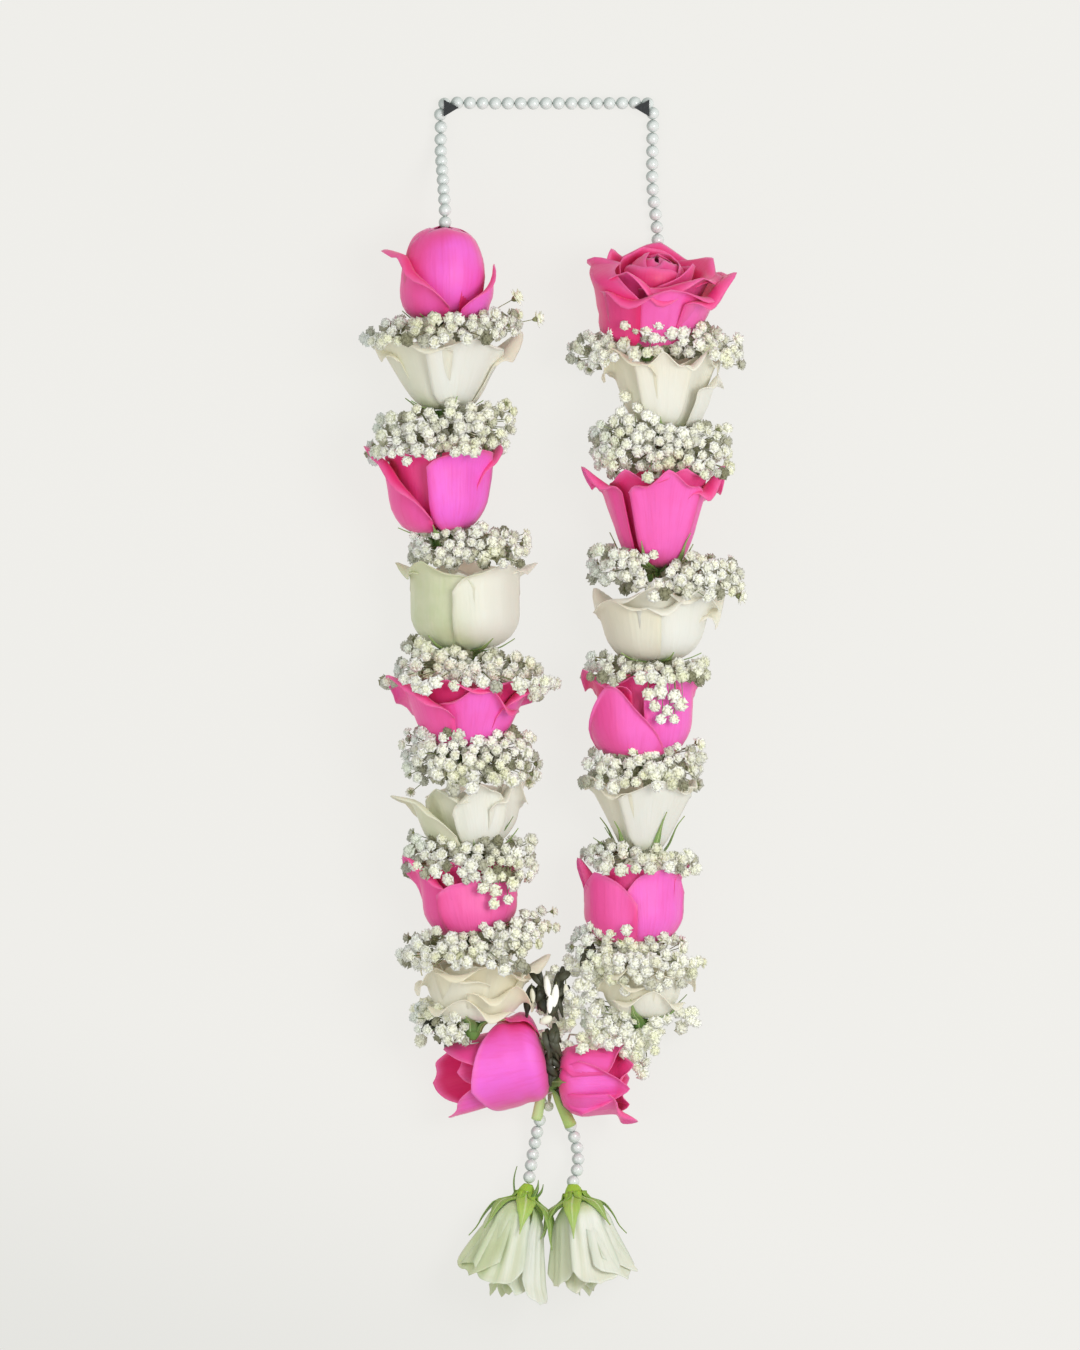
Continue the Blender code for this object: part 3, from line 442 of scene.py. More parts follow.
def add_blade(pile, outer, thickness, marks, hues, skin=0):
    """A thin closed blade: an outer sheet of points (rows, columns, 3), and an inner one."""
    rows, columns, _ = outer.shape
    normals = grid_normals(outer)
    inner = outer - normals * thickness
    both = on_table(np.stack((outer, inner)))
    size = rows * columns
    front = grid_faces(rows, columns)
    back = grid_faces(rows, columns, size)[:, ::-1]
    ring = np.concatenate((
        np.arange(columns), np.arange(1, rows) * columns + columns - 1,
        np.arange(columns - 2, -1, -1) + (rows - 1) * columns,
        np.arange(rows - 2, 0, -1) * columns))
    after = np.roll(ring, -1)
    rim = np.stack((after, ring, ring + size, after + size), axis=1)
    marks = np.concatenate((marks.reshape(-1, 4), marks.reshape(-1, 4)))
    marks[size:, 3] = 1.0
    hues = np.tile(hues.reshape(-1, 4), (2, 1))
    pile.add(both, [front, back, rim], marks, hues, skin)


def add_tube(pile, points, radii, sides, marks=(0, 0, 0, 0), hues=None, skin=0):
    """A round tube with closed ends along a line of points."""
    points = np.asarray(points, float)
    radii = np.broadcast_to(np.asarray(radii, float), (len(points),))
    ways = np.gradient(points, axis=0)
    ways /= np.maximum(np.linalg.norm(ways, axis=1, keepdims=True), 1e-9)
    helper = UP if abs(ways[0] @ UP) < 0.9 else np.array((1.0, 0, 0))
    side = np.cross(ways[0], helper)
    rings = []
    angles = np.arange(sides) / sides * TAU
    for point, way, radius in zip(points, ways, radii):
        side = side - side.dot(way) * way
        side /= np.linalg.norm(side)
        over = np.cross(way, side)
        rings.append(point + radius * (np.cos(angles)[:, None] * side
                                       + np.sin(angles)[:, None] * over))
    count = len(points)
    body = grid_faces(count, sides, closed=True)
    caps = [np.array([list(range(sides))[::-1]]),
            np.array([[(count - 1) * sides + j for j in range(sides)]])]
    pile.add(np.concatenate(rings), [body, *caps], marks, hues, skin)


def add_lathe(pile, profile, steps, turn, place, marks=(0, 0, 0, 0), hues=None, skin=0):
    """A solid turned about its own Z from radii and heights; its two ends are closed points."""
    profile = np.asarray(profile, float)
    angles = np.arange(steps) / steps * TAU
    rings = np.stack((profile[1:-1, 0, None] * np.cos(angles),
                      profile[1:-1, 0, None] * np.sin(angles),
                      np.repeat(profile[1:-1, 1, None], steps, axis=1)), axis=-1)
    rows = len(rings)
    points = np.concatenate((rings.reshape(-1, 3), [(0, 0, profile[0, 1])],
                             [(0, 0, profile[-1, 1])]))
    first, last = rows * steps, rows * steps + 1
    body = grid_faces(rows, steps, closed=True)
    j = np.arange(steps)
    k = (j + 1) % steps
    foot = np.stack((k, j, np.full(steps, first)), axis=1)
    head = np.stack((j + (rows - 1) * steps, k + (rows - 1) * steps, np.full(steps, last)),
                    axis=1)
    if profile[0, 1] > profile[-1, 1]:
        body, foot, head = body[:, ::-1], foot[:, ::-1], head[:, ::-1]
    pile.add(points @ np.asarray(turn).T + place, [body, foot, head], marks, hues, skin)


def turn_to(way):
    """A turn that takes Z to a direction."""
    way = np.asarray(way, float) / np.linalg.norm(way)
    helper = UP if abs(way @ UP) < 0.95 else np.array((1.0, 0, 0))
    side = np.cross(helper, way)
    side /= np.linalg.norm(side)
    return np.column_stack((side, np.cross(way, side), way))


# Roses.


def full_profile(rose, reach=1.0):
    """Radius and height of the outer petals, from root to rim, before the rim rolls over."""
    h, middle = rose.height, (rose.belly + rose.throat) / 2
    return np.array((
        (PETAL_ROOT, 0.0), (0.72 * rose.belly, 0.07 * h), (rose.belly, 0.30 * h),
        (middle, 0.58 * h), (rose.throat, 0.84 * h),
        (rose.throat + 0.75 * rose.flare * reach, 0.97 * h)))


def bud_profile(rose):
    """Radius and height of the closed heart."""
    g, b = rose.girth, rose.bud
    closed = np.array(((3.6, 0.4), (0.76 * g, 0.12 * b), (g, 0.36 * b), (0.99 * g, 0.62 * b),
                       (0.70 * g, 0.88 * b), (0.02 * g, 0.99 * b)))
    cup = np.array(((3.4, 0.4), (0.60 * g, 0.12 * b), (0.80 * g, 0.40 * b), (0.70 * g, 0.66 * b),
                    (0.50 * g, 0.86 * b), (0.42 * g, 0.98 * b)))
    share = min(1.0, 2 * rose.dome)
    return closed * share + cup * (1 - share)


def petal_line(controls, petal, draw, a, b):
    """Radius, height and run of a petal's points, with its rim rolled back."""
    line = curve_through(controls)
    run = run_of(line)
    side = np.abs(a)
    fall = ((1 - petal.point) * ROUND_FALL[0] * side ** ROUND_FALL[1]
            + petal.point * POINTED_FALL[0] * side ** POINTED_FALL[1])
    tip = 0.05 * np.maximum(0, 1 - side * 2.5) ** 1.5
    wave = 0.02 * np.sin(a * draw.uniform(4, 7) + draw.uniform(0, 6))
    full = run[-1] * petal.length + petal.roll * ROLL_MADE_GOOD
    length = full * (1 - fall + tip + wave)
    uneven = draw.uniform(-0.35, 0.35)
    shoulder = np.exp(-(((side - 0.52) / 0.34) ** 2)) * (1 + uneven * np.sign(a))
    rolled = np.minimum(petal.roll * (0.30 + 0.75 * shoulder), length * 0.5)
    radius = 1.7 + 0.18 * petal.roll
    s = b * length
    curl = np.maximum(s - (length - rolled), 0) / radius
    straight = np.minimum(s, length - rolled)
    slope = np.gradient(line, run, axis=0)
    slope /= np.linalg.norm(slope, axis=1, keepdims=True)
    r, z = (np.interp(straight, run, line[:, i]) for i in (0, 1))
    tr, tz = (np.interp(straight, run, slope[:, i]) for i in (0, 1))
    past = np.maximum(straight - run[-1], 0)
    r = r + past * tr + radius * (tr * np.sin(curl) + tz * (1 - np.cos(curl)))
    z = z + past * tz + radius * (tz * np.sin(curl) - tr * (1 - np.cos(curl)))
    return r, z, s / run[-1]


def petal_sheet(controls, petal, draw, edge, flute, grid):
    """Points of one petal's outer face, with the shares along and across it."""
    rows, rim_rows, columns = grid
    along = np.concatenate((np.linspace(0, RIM_SPAN[0], rows),
                            np.linspace(RIM_SPAN[1], 1.0, rim_rows)))
    a, b = np.meshgrid(np.linspace(-1, 1, columns), along)
    r, z, share = petal_line(controls, petal, draw, a, b)
    upper = smooth(0.25, 0.95, b)
    swell = np.sin(np.clip(share * 2.2, 0, 1) ** 0.6 * math.pi)
    r = r * (1 + (petal.bulge - 1) * np.maximum(swell, smooth(0, 0.3, share) * 0.4))
    r = r + edge * upper * np.abs(a) ** 3.2 + petal.lean * share**1.3
    r = r + upper * 0.9 * np.sin(a * draw.uniform(2, 4.5) + draw.uniform(0, 6))
    r = r + flute * smooth(0.1, 0.5, b) * np.sin(a * 11 + draw.uniform(0, 6))
    opened = smooth(0.0, 0.42, b)
    widen = 0.42 + 0.58 * opened + 0.35 * petal.point * (1 - opened)
    angle = math.radians(petal.azimuth) + a * math.radians(petal.half) * widen
    return np.stack((r * np.cos(angle), r * np.sin(angle), z), axis=-1), b, a


def petal_plans(rose, draw):
    """Every petal of a rose from the outermost in, each with its profile, margin and grid."""
    heart = bud_profile(rose)
    closed = rose.dome == 1
    plans = []
    for k, row in enumerate(OUTER_PETALS[rose.name]):
        petal = Petal(*row)
        controls = full_profile(rose, draw.uniform(0.85, 1.15) * petal.flare)
        controls[1:, 0] -= PETAL_STEP * k
        plans.append((controls, petal, PETAL_EDGE, OUTER_GRID))
    count = len(plans)
    for k in range(1, INNER_PETALS + 1):
        share = k / INNER_PETALS
        blend = 1.0 if closed else share
        controls = full_profile(rose, 0.3) * (1 - blend) + heart * blend
        controls[:, 0] *= 1 - (0.045 if closed else 0.03) * (k - 1)
        controls[1:, 0] -= PETAL_STEP * count * (1 - blend)
        controls[:, 0] = np.maximum(controls[:, 0], 0.9)
        roll = draw.uniform(1.8, 3.6) * (1 - 0.7 * share) * (1 - 0.8 * rose.dome)
        length = 0.90 if closed else draw.uniform(0.97, 1.03) * HOLLOW.get(rose.name, 1)
        tint = 0.8 if closed else draw.uniform(-0.6, 0.5)
        azimuth = (12 if closed else 75) + (k - 1) * SPIRAL_TURN
        petal = Petal(azimuth, 74 + 30 * share, length, roll, 0.0, tint)
        plans.append((controls, petal, PETAL_EDGE * 0.4 * (1 - share), INNER_GRID))
    return plans


def petal_hues(rose, petal, sheet, a, k):
    """How lit, green, cream and shaded each point of the k-th petal is."""
    # Painted highlight where the petal faces the light, raised or lowered by its tint.
    lit = smooth(0.35, 1.0, grid_normals(sheet) @ TO_LIGHT)
    glow = np.clip(lit * (0.75 + 0.5 * petal.tint), 0, 1)
    # Green grows towards the left, away from the light, where it is partly painted shade.
    to_left = (petal.azimuth + a * petal.half) * (1 if rose.colour == "pendant" else -1)
    green = rose.green * (0.12 + 0.95 * smooth(-60, 60, to_left))
    cream = max(0.0, rose.cream * (0.75 - 0.45 * petal.tint))
    # depth is painted shade: more on each petal further in, and on petals tinted as shaded.
    depth = min(1.0, k / 14 + 0.9 * max(0.0, -petal.tint))
    return np.stack((glow, green, np.full_like(a, cream), np.full_like(a, depth)), axis=-1)


def make_rose(rose):
    """Every petal of a rose: a spiral that tightens to its heart."""
    draw = random.Random(rose.name + " petals")
    turn, place = FRAMES[rose.name]
    pile = Pile()
    for k, (controls, petal, edge, grid) in enumerate(petal_plans(rose, draw)):
        tilt = 1 - OPENING_TILT * math.cos(math.radians(petal.azimuth))
        petal = petal._replace(length=petal.length * tilt)
        sheet, b, a = petal_sheet(controls, petal, draw, edge, FLUTES[rose.colour], grid)
        sheet = sheet @ turn.T + place
        marks = np.stack((b, a / 2 + 0.5, np.full_like(a, draw.random()), np.zeros_like(a)),
                         axis=-1)
        thickness = (PETAL_THICKNESS[0] - PETAL_THICKNESS[1] * b)[..., None]
        add_blade(pile, sheet, thickness, marks, petal_hues(rose, petal, sheet, a, k))
    slot = "pink_petal" if rose.colour == "pink" else "white_petal"
    pile.make(rose.name + "_rose", [rose.name + "_petals"], [PETALS[rose.colour]])


def sepal_sheet(line, azimuth, width, draw, rows=14, columns=5):
    """A long pointed sepal along a line of radius and height."""
    path = curve_through(line, rows)
    b = np.linspace(0, 1, rows)
    outline = width * (0.75 + 0.6 * np.sin(np.clip(b * 2.6, 0, math.pi / 2)))
    outline = np.maximum(0.04 * width, outline * (1 - b) ** 0.9 * (1 - 0.5 * smooth(0.4, 1, b)))
    outline = outline * (1 + 0.06 * np.sin(b * 30 + draw.uniform(0, 6)))
    a = np.linspace(-1, 1, columns)
    bend = draw.uniform(-0.10, 0.10)
    a2, b2 = np.meshgrid(a, b)
    r = path[:, 0, None] - 0.35 * np.abs(a2) ** 2 * (1 - b2)
    x = a2 * outline[:, None] + bend * path[:, 1, None] * b2
    z = np.repeat(path[:, 1, None], columns, axis=1)
    ca, sa = math.cos(azimuth), math.sin(azimuth)
    sheet = np.stack((r * ca - x * sa, r * sa + x * ca, z), axis=-1)
    return sheet, b2, a2


# Sepals of a rose, and of one that hangs.
SEPALS = 5
HANGING_SEPALS = 7
# Sepals that stand away from their rose: azimuth, splay in degrees, and length.
LOOSE_SEPALS = {
    "left_6": ((62, 48, 24), (84, 30, 30)),
    "right_6": ((-70, 62, 22), (-84, 40, 20), (72, 22, 30)),
    "right_4": ((70, 40, 20),),
    "right_3": ((0, 14, 15), (-38, 24, 14), (40, 24, 14), (20, 60, 9)),
    "left_3": ((40, 24, 13),),
    "left_4": ((62, 36, 22), (-72, 30, 18)),
    "right_2": ((-62, 28, 22),),
    "left_2": ((-70, 24, 18),),
    "right_8": ((75, 50, 22),),
    "left_8": ((80, 40, 18),),
    "pendant_left": ((104, 172, 14), (-42, 172, 9), (-64, 165, 8)),
}
# The cut stems that show below the knot, over the first pearls: a line, its radii, and the
# mark of its paint.
KNOT_STEMS = {
    "left_9": ((((-4.0, -174, 17), (-6.4, -186, 15), (-8.6, -198, 11.6)), (1.6, 2.2, 2.7), 0.5),),
    "right_9": ((((-1.6, -176, 17), (1.8, -188, 15.5), (7.4, -201, 11.6)), (1.8, 2.5, 3.0), 0.3),),
}


def add_sepal(pile, rose, line, azimuth, width, thickness, draw, lime, dark, tone=None):
    """One sepal along a line beside a rose: how lime green it is, and how dark."""
    turn, place = FRAMES[rose.name]
    sheet, b, a = sepal_sheet(line, azimuth, width, draw)
    tone = draw.random() if tone is None else tone
    marks = np.stack((b, a / 2 + 0.5, np.full_like(a, tone), np.zeros_like(a)), axis=-1)
    hues = np.array(np.broadcast_to((0, lime, dark, 0), marks.shape), float)
    add_blade(pile, sheet @ turn.T + place, thickness, marks, hues)


def make_calyx(rose):
    """The hip, its sepals laid up the petals, and the few that stand away."""
    draw = random.Random(rose.name + " sepals")
    turn, place = FRAMES[rose.name]
    pile = Pile()
    hanging = rose.colour == "pendant"
    lime = float(hanging)
    end = HIP_TOP - HIP_LENGTH
    profile = [(0, HIP_TOP + 1.2), (2.5, HIP_TOP + 1.3), (4.5, HIP_TOP + 0.6), (4.8, HIP_TOP - 1.2),
               (4.5, HIP_TOP - 3.0), (3.7, HIP_TOP - 5.2), (2.8, end + 0.9), (2.2, end), (0, end)]
    add_lathe(pile, profile, 20, turn, place, (0.0, 0.2, 0.5, 0.0), (0, lime, 0, 0))
    outer = curve_through(full_profile(rose), 72)
    run = run_of(outer)
    count = HANGING_SEPALS if hanging else SEPALS
    for k in range(count):
        azimuth = math.radians(rose.spin + 12 + 360 / count * k + draw.uniform(-6, 6))
        reach = run[-1] * rose.hug * draw.uniform(0.85, 1.15)
        stops = np.linspace(0.0, reach, 6)
        line = np.stack((np.interp(stops, run, outer[:, 0]), np.interp(stops, run, outer[:, 1])),
                        axis=1)
        line[:, 0] = line[:, 0] * (np.linspace(1.34, 1.30, 6) if hanging else 1.0) + 1.1
        line[:, 1] -= 0.5
        line = np.concatenate((((4.4, HIP_TOP - 3.6), (5.4, HIP_TOP - 0.6)), line[1:]))
        line[-1, 0] += draw.uniform(0.6, 2.2)
        width = draw.uniform(2.6, 3.4) * (1.9 if hanging else 1)
        # On a hanging rose the sepals at its flanks are painted darker, as shade.
        add_sepal(pile, rose, line, azimuth, width, 0.45, draw, lime,
                  0.8 * lime * abs(math.sin(azimuth)))
    for azimuth, splay, length in LOOSE_SEPALS.get(rose.name, ()):
        splay, azimuth = math.radians(splay), math.radians(azimuth)
        f = np.linspace(0, 1, 6)
        line = np.stack((5.0 + np.sin(splay) * length * f + 1.2 * np.sin(f * math.pi),
                         HIP_TOP - 1.0 + np.cos(splay) * length * f), axis=1)
        add_sepal(pile, rose, line, azimuth, 1.35, 0.40, draw, 0.3 * lime, 1.0, 0.2)
    for line, radii, across in KNOT_STEMS.get(rose.name, ()):
        line = curve_through(line, 12)
        add_tube(pile, line, np.interp(np.linspace(0, 1, 12), (0, 0.5, 1), radii), 12,
                 (0.9, across, 0.5, 0), (0, 1, 0, 0))
    pile.make(rose.name + "_sepals", [rose.name + "_calyx"], [SEPAL])


# Baby's breath.


# A tiny petal of a floret: its outline, which point of it is notched and how deep, its two
# middles, and how much it curves up.
TINY_OUTLINE = ((0.05, 0), (0.45, 0.22), (0.90, 0.30), (0.92, 0), (0.90, -0.30), (0.45, -0.22))
NOTCHED, NOTCH = 3, 0.06
TINY_MIDDLES = ((0.58, 0, 0.15), (0.58, 0, -0.03))
TINY_CURVE = 0.16
# A floret's whorls from the outermost: petals, rise in degrees, reach, lift and width.
WHORLS = ((6, -6, 1.0, -0.10, 1.45), (5, 24, 0.88, 0.0, 1.50), (4, 56, 0.70, 0.0, 1.40))


def tiny_petal(way, tilt, reach, lift, width):
    """A small notched petal of closed faces, pointing out of a floret."""
    outline = np.array(TINY_OUTLINE) * (1, width)
    x, y = outline[:, 0], outline[:, 1]
    z = TINY_CURVE * x**2
    points = np.concatenate((np.stack((x, y, z), axis=1), TINY_MIDDLES))
    points[NOTCHED, 0] -= NOTCH
    points *= reach
    count = len(outline)
    j = np.arange(count)
    k = (j + 1) % count
    faces = np.concatenate((np.stack((j, np.full(count, count), k), axis=1)[:, ::-1],
                            np.stack((k, np.full(count, count + 1), j), axis=1)[:, ::-1]))
    ct, st = math.cos(tilt), math.sin(tilt)
    turned = np.stack((points[:, 0] * ct - points[:, 2] * st, points[:, 1],
                       points[:, 0] * st + points[:, 2] * ct + lift), axis=1)
    cw, sw = math.cos(way), math.sin(way)
    spun = np.stack((turned[:, 0] * cw - turned[:, 1] * sw,
                     turned[:, 0] * sw + turned[:, 1] * cw, turned[:, 2]), axis=1)
    return spun, faces, np.concatenate((x, [middle[0] for middle in TINY_MIDDLES]))


def floret_kit(seed):
    """A double floret of radius 1 at the origin, looking along Z: points, faces and marks."""
    draw = random.Random(seed)
    points, faces, marks, count = [], [], [], 0
    for level, (number, rise, reach, lift, width) in enumerate(WHORLS):
        for k in range(number):
            way = (k + 0.5 * level + draw.uniform(-0.2, 0.2)) * TAU / number
            tilt = math.radians(rise + draw.uniform(-9, 9))
            size = reach * draw.uniform(0.88, 1.1)
            p, f, x = tiny_petal(way, tilt, size, lift, width * draw.uniform(0.9, 1.15))
            points.append(p)
            faces.append(f + count)
            marks.append(np.stack((x, np.full_like(x, level / 2),
                                   np.full_like(x, draw.random()), np.zeros_like(x)), axis=1))
            count += len(p)
    return np.concatenate(points), np.concatenate(faces), np.concatenate(marks)


KITS = [floret_kit(f"floret {i}") for i in range(6)]
# What of a floret comes nearer to the table than this is pressed flat on it.
FLORET_CLEARANCE = 0.8
# The floret's heart: a green cup below, and the pale crowd of stamens that fills it.
CUP = ((0, -0.66), (0.26, -0.46), (0.42, -0.10), (0, -0.06))
HEART = ((0, -0.16), (0.56, 0.02), (0.40, 0.40), (0, 0.50))


def add_floret(pile, spot, way, size, root, draw, deep=0.0, cool_shade=0.0):
    """A floret with its green cup, on a thin stem that bends back to its root.

    deep paints shade on one that sits low between the others, and the last argument paints a
    blue-grey shade on it.
    """
    points, faces, marks = KITS[draw.randrange(len(KITS))]
    turn = turn_to(way)
    spin = draw.uniform(0, TAU)
    c, s = math.cos(spin), math.sin(spin)
    turn = turn @ np.array(((c, -s, 0), (s, c, 0), (0, 0, 1)))
    marks = marks.copy()
    marks[:, 2] = 0.5 * marks[:, 2] + 0.5 * draw.random()
    marks[:, 3] = deep
    hues = (cool_shade, 0, 0, 0)
    placed = on_table(points * size @ turn.T + spot, FLORET_CLEARANCE)
    pile.add(placed, faces, marks, hues)
    add_lathe(pile, np.array(CUP) * size, 4, turn, spot, (0.3, 0.5, 0.5, 0), None,
              STEM_SKIN)
    add_lathe(pile, np.array(HEART) * size, 5, turn, spot, (0.5, 0.5, draw.random(), deep), hues)
    start = spot - np.asarray(way) * size * 0.6
    middle = start * 0.55 + root * 0.45 - np.asarray(way) * 2.0
    line = curve_through((start, middle, root), 4)
    add_tube(pile, line, np.linspace(0.26, STEM_RADIUS, 4), 3, (0.6, 0.5, draw.random(), 0),
             None, STEM_SKIN)


def clear_of(roses, spot, margin):
    """Pushes a spot out of the petals of the roses near it."""
    for rose in roses:
        turn, place = FRAMES[rose.name]
        local = turn.T @ (spot - place)
        line = full_profile(rose, 1.2)
        if -2 < local[2] < line[-1, 1] + 1.5:
            need = np.interp(local[2], line[:, 1], line[:, 0]) + margin
            if local[2] > line[-2, 1]:
                need += 1.5
            out = math.hypot(local[0], local[1])
            if out < need:
                local[:2] *= need / max(out, 1e-6)
                spot = turn @ local + place
    return spot


def collar_line(key, x):
    """Where the middle of a collar's band lies at a place across it."""
    left, middle, right, _ = COLLARS[key]
    return np.interp(x, (left[0], middle[0], right[0]), (left[1], middle[1], right[1]))


def collar_spot(key, centre, clump, over, draw):
    """A random place in a collar: the spot, its place across the band, and how far out it is."""
    left, _, right, half = COLLARS[key]
    wide = (right[0] - left[0]) / 2 + 1.0
    a = draw.uniform(-1, 1)
    u = max(-1.1, min(1.1, draw.gauss(0, 0.62)))
    x = (left[0] + right[0]) / 2 + a * wide
    ragged = 1.0 + 0.3 * math.sin(a * 7 + clump[0]) * math.sin(a * 17 + clump[1])
    y = collar_line(key, x)
    y = y + u * (half - 2.2) * ragged * math.sqrt(max(0.3, 1 - 0.4 * a * a))
    depth = draw.uniform(0.86, 1.0) if draw.random() < 0.7 else draw.uniform(0.4, 0.85)
    rise = 0.74 * wide * (1 - abs(a) ** 2.4) ** 0.5 * depth * (1 - 0.22 * min(1, u * u))
    return np.array((x, y, centre[2] + (rise if over else -rise))), a, depth


def add_collar(pile, key, draw):
    """The florets of one collar, spread over its band above and below the strand."""
    half = COLLARS[key][3]
    side, index = key.split("_")
    upper, lower = BY_NAME[key], BY_NAME[f"{side}_{int(index) + 1}"]
    centre = on_axis(upper, HIP_TOP - HIP_LENGTH * 0.8)
    bare = BARE.get(key)
    kept = []
    clump = [draw.uniform(0, TAU) for _ in range(3)]
    for attempt in range(COLLAR_TRIES):
        over = attempt % TRIES_BELOW != TRIES_BELOW - 1
        free, a, depth = collar_spot(key, centre, clump, over, draw)
        x, y = free[:2]
        line_y = collar_line(key, x)
        spot = clear_of((upper, lower), free, 1.2)
        spot[2] = min(spot[2], FLORET_TOP)
        if spot[2] < 2.6 or abs(spot[1] - line_y) > half * 1.25 + 1.5:
            continue
        spacing = FLORET_SPACING * (1.0 if over else 1.35) * (1 + 0.45 * max(0, abs(a) - 0.7))
        if kept and np.min(np.linalg.norm(np.array(kept) - spot, axis=1)) < spacing:
            continue
        if bare and over and math.dist((x, y), bare[:2]) < bare[2]:
            continue
        if over and math.sin(x * 0.45 + clump[2]) * math.sin(y * 0.6 + clump[0]) > 0.66:
            continue
        kept.append(spot)
        root = centre + np.array((draw.uniform(-4, 4), draw.uniform(-2, 2), draw.uniform(-4, 4)))
        root = root + (spot - root) * 0.35 * (1 - 0.35 * abs(a))
        root[1] = line_y
        way = spot - (centre * 0.7 + np.array((centre[0], spot[1], centre[2])) * 0.3)
        way = way / np.linalg.norm(way) + np.array([draw.uniform(-0.4, 0.4) for _ in range(3)])
        way = way + 0.8 * UP * (1 if over else -0.4)
        way /= np.linalg.norm(way)
        if draw.random() < SPRIGS:
            spot = spot + way * draw.uniform(*SPRIG_LENGTH)
            spot[0] = np.clip(spot[0], -SPRIG_REACH, SPRIG_REACH)
            spot[2] = np.clip(spot[2], 3.0, FLORET_TOP)
        # Painted shade for a floret low in the crowd, less towards the band's ends, with a random share.
        deep = max(0.0, 3.0 * (0.88 - depth)) * (1 - 0.6 * abs(a)) + 0.2 * draw.random()
        deep = min(1.0, deep) * LOW_SHADE_SCALE.get(key, 1.0)
        # Painted blue-grey shade on the collar's left, away from the light.
        cool_shade = smooth(0.45, 1.0, -a) * draw.uniform(0.3, 1.0)
        add_floret(pile, spot, way, draw.uniform(*FLORET_SIZE), root, draw, deep, cool_shade)
    return centre


# Where the narrow dark leaves crowd between the two strands' last flowers: the middle of each
# crowd, its spread in x and y, and the number of its leaves.
BOTTOM_LEAVES = (
    ((-7, -136, 30), 2.2, 6, 7), ((-14, -142, 29), 2.0, 4, 4), ((2.5, -133, 30), 2.2, 7, 8),
    ((-2, -145, 30), 5.0, 3, 9), ((-1.5, -160, 30), 3.2, 6, 12), ((-2.5, -174, 27), 2.0, 6, 8),
    ((-54, -156, 26), 7.0, 5, 9), ((14, -120, 31), 4.0, 2, 3),
)
# Slim white buds there, each from one point to another, with its half width.
BOTTOM_BUDS = (
    ((-4.2, -130, 35), (-3.0, -140, 36), 1.7), ((0.6, -134, 35), (-0.4, -145, 36), 1.8),
    ((-11.0, -136, 33), (-10.2, -143, 34), 1.3), ((-2.2, -139, 36), (-2.6, -148, 36), 1.5),
    ((-7.0, -152.5, 35), (-1.4, -149.5, 36), 2.1), ((5.0, -134, 33), (5.6, -141, 34), 1.4),
)
# Middles of the extra bunches round the hips of the last white roses, and the florets in each.
BOTTOM_FLORETS = (
    (40, -157, 28), (32, -152, 30), (48, -152, 26),
    (10, -138, 30), (12, -148, 30), (16, -130, 30), (24, -160, 28), (36, -164, 24),
    (14, -160, 29), (62, -150, 16), (-62, -146, 24), (-58, -156, 22), (42, -163, 33),
    (44, -156, 34), (20, -142, 27), (-6, -147, 22), (4, -151, 22), (0, -160, 20), (-4, -137, 22),
    (5, -128, 23), (3, -168, 20),
)
FLORETS_EACH = 6
# A slim bud's shape, as shares of its half width and its length.
BUD_SHAPE = ((0, 0), (0.45, 0.06), (0.85, 0.28), (1.0, 0.52), (0.75, 0.80), (0.3, 0.97), (0, 1.0))


def add_leaf(pile, start, end, width, draw):
    """A narrow pointed leaf that arches from one point to another."""
    b = np.linspace(0, 1, 11)
    path = start + (end - start) * b[:, None] + UP * (2.2 * np.sin(b * math.pi))[:, None]
    along = (end - start) / np.linalg.norm(end - start)
    side = np.cross(UP, along)
    side = side / np.linalg.norm(side) + UP * draw.uniform(-0.5, 0.5)
    outline = width * np.sin(np.clip(b * 0.94 + 0.06, 0, 1) ** 0.8 * math.pi) + 0.12
    a = np.linspace(-1, 1, 5)
    sheet = path[:, None] + side * (a[None, :, None] * outline[:, None, None])
    sheet = sheet - UP * (0.5 * np.abs(a))[None, :, None]
    size = (len(b), len(a))
    marks = np.stack((np.full(size, 0.2), np.full(size, 0.5), np.full(size, draw.random()),
                      np.zeros(size)), axis=-1)
    add_blade(pile, sheet, 0.35, marks, np.zeros(size + (4,)), LEAF_SKIN)


def add_bottom_green(pile):
    """The leaves and buds that fill the gap above the knot."""
    draw = random.Random("bottom green")
    for middle, wide, deep, count in BOTTOM_LEAVES:
        for _ in range(count):
            spread = (draw.uniform(-wide, wide), draw.uniform(-deep, deep), draw.uniform(-3, 2))
            heading, length = draw.gauss(0, 0.55), draw.uniform(7, 13)
            way = np.array((math.sin(heading), math.cos(heading), draw.uniform(-0.3, 0.3)))
            half = way * length / 2
            place = np.array(middle) + spread
            add_leaf(pile, place + half, place - half, draw.uniform(1.0, 2.0), draw)
    for start, end, width in BOTTOM_BUDS:
        start, end = np.array(start, float), np.array(end, float)
        length = np.linalg.norm(end - start)
        profile = np.array(BUD_SHAPE) * (width, length)
        add_lathe(pile, profile, 10, turn_to(end - start), start, (0.8, 0.2, draw.random(), 0))
        stem = curve_through((start, start + (0, 1, -5), start + (0, 2, -14)), 5)
        add_tube(pile, stem, 0.3, 5, (0.6, 0.5, 0.5, 0), None, STEM_SKIN)


def add_bottom_florets(pile, draw):
    """The loose florets round the last white roses and in the gap above the knot."""
    for middle in BOTTOM_FLORETS:
        for _ in range(FLORETS_EACH):
            spot = np.array(middle) + [draw.uniform(-5.5, 5.5) for _ in range(3)]
            way = np.array((draw.uniform(-0.5, 0.5), draw.uniform(-0.5, 0.5), 1.0))
            way /= np.linalg.norm(way)
            add_floret(pile, spot, way, draw.uniform(*FLORET_SIZE), spot - (0, 0, 8), draw,
                       0.12 * draw.random())


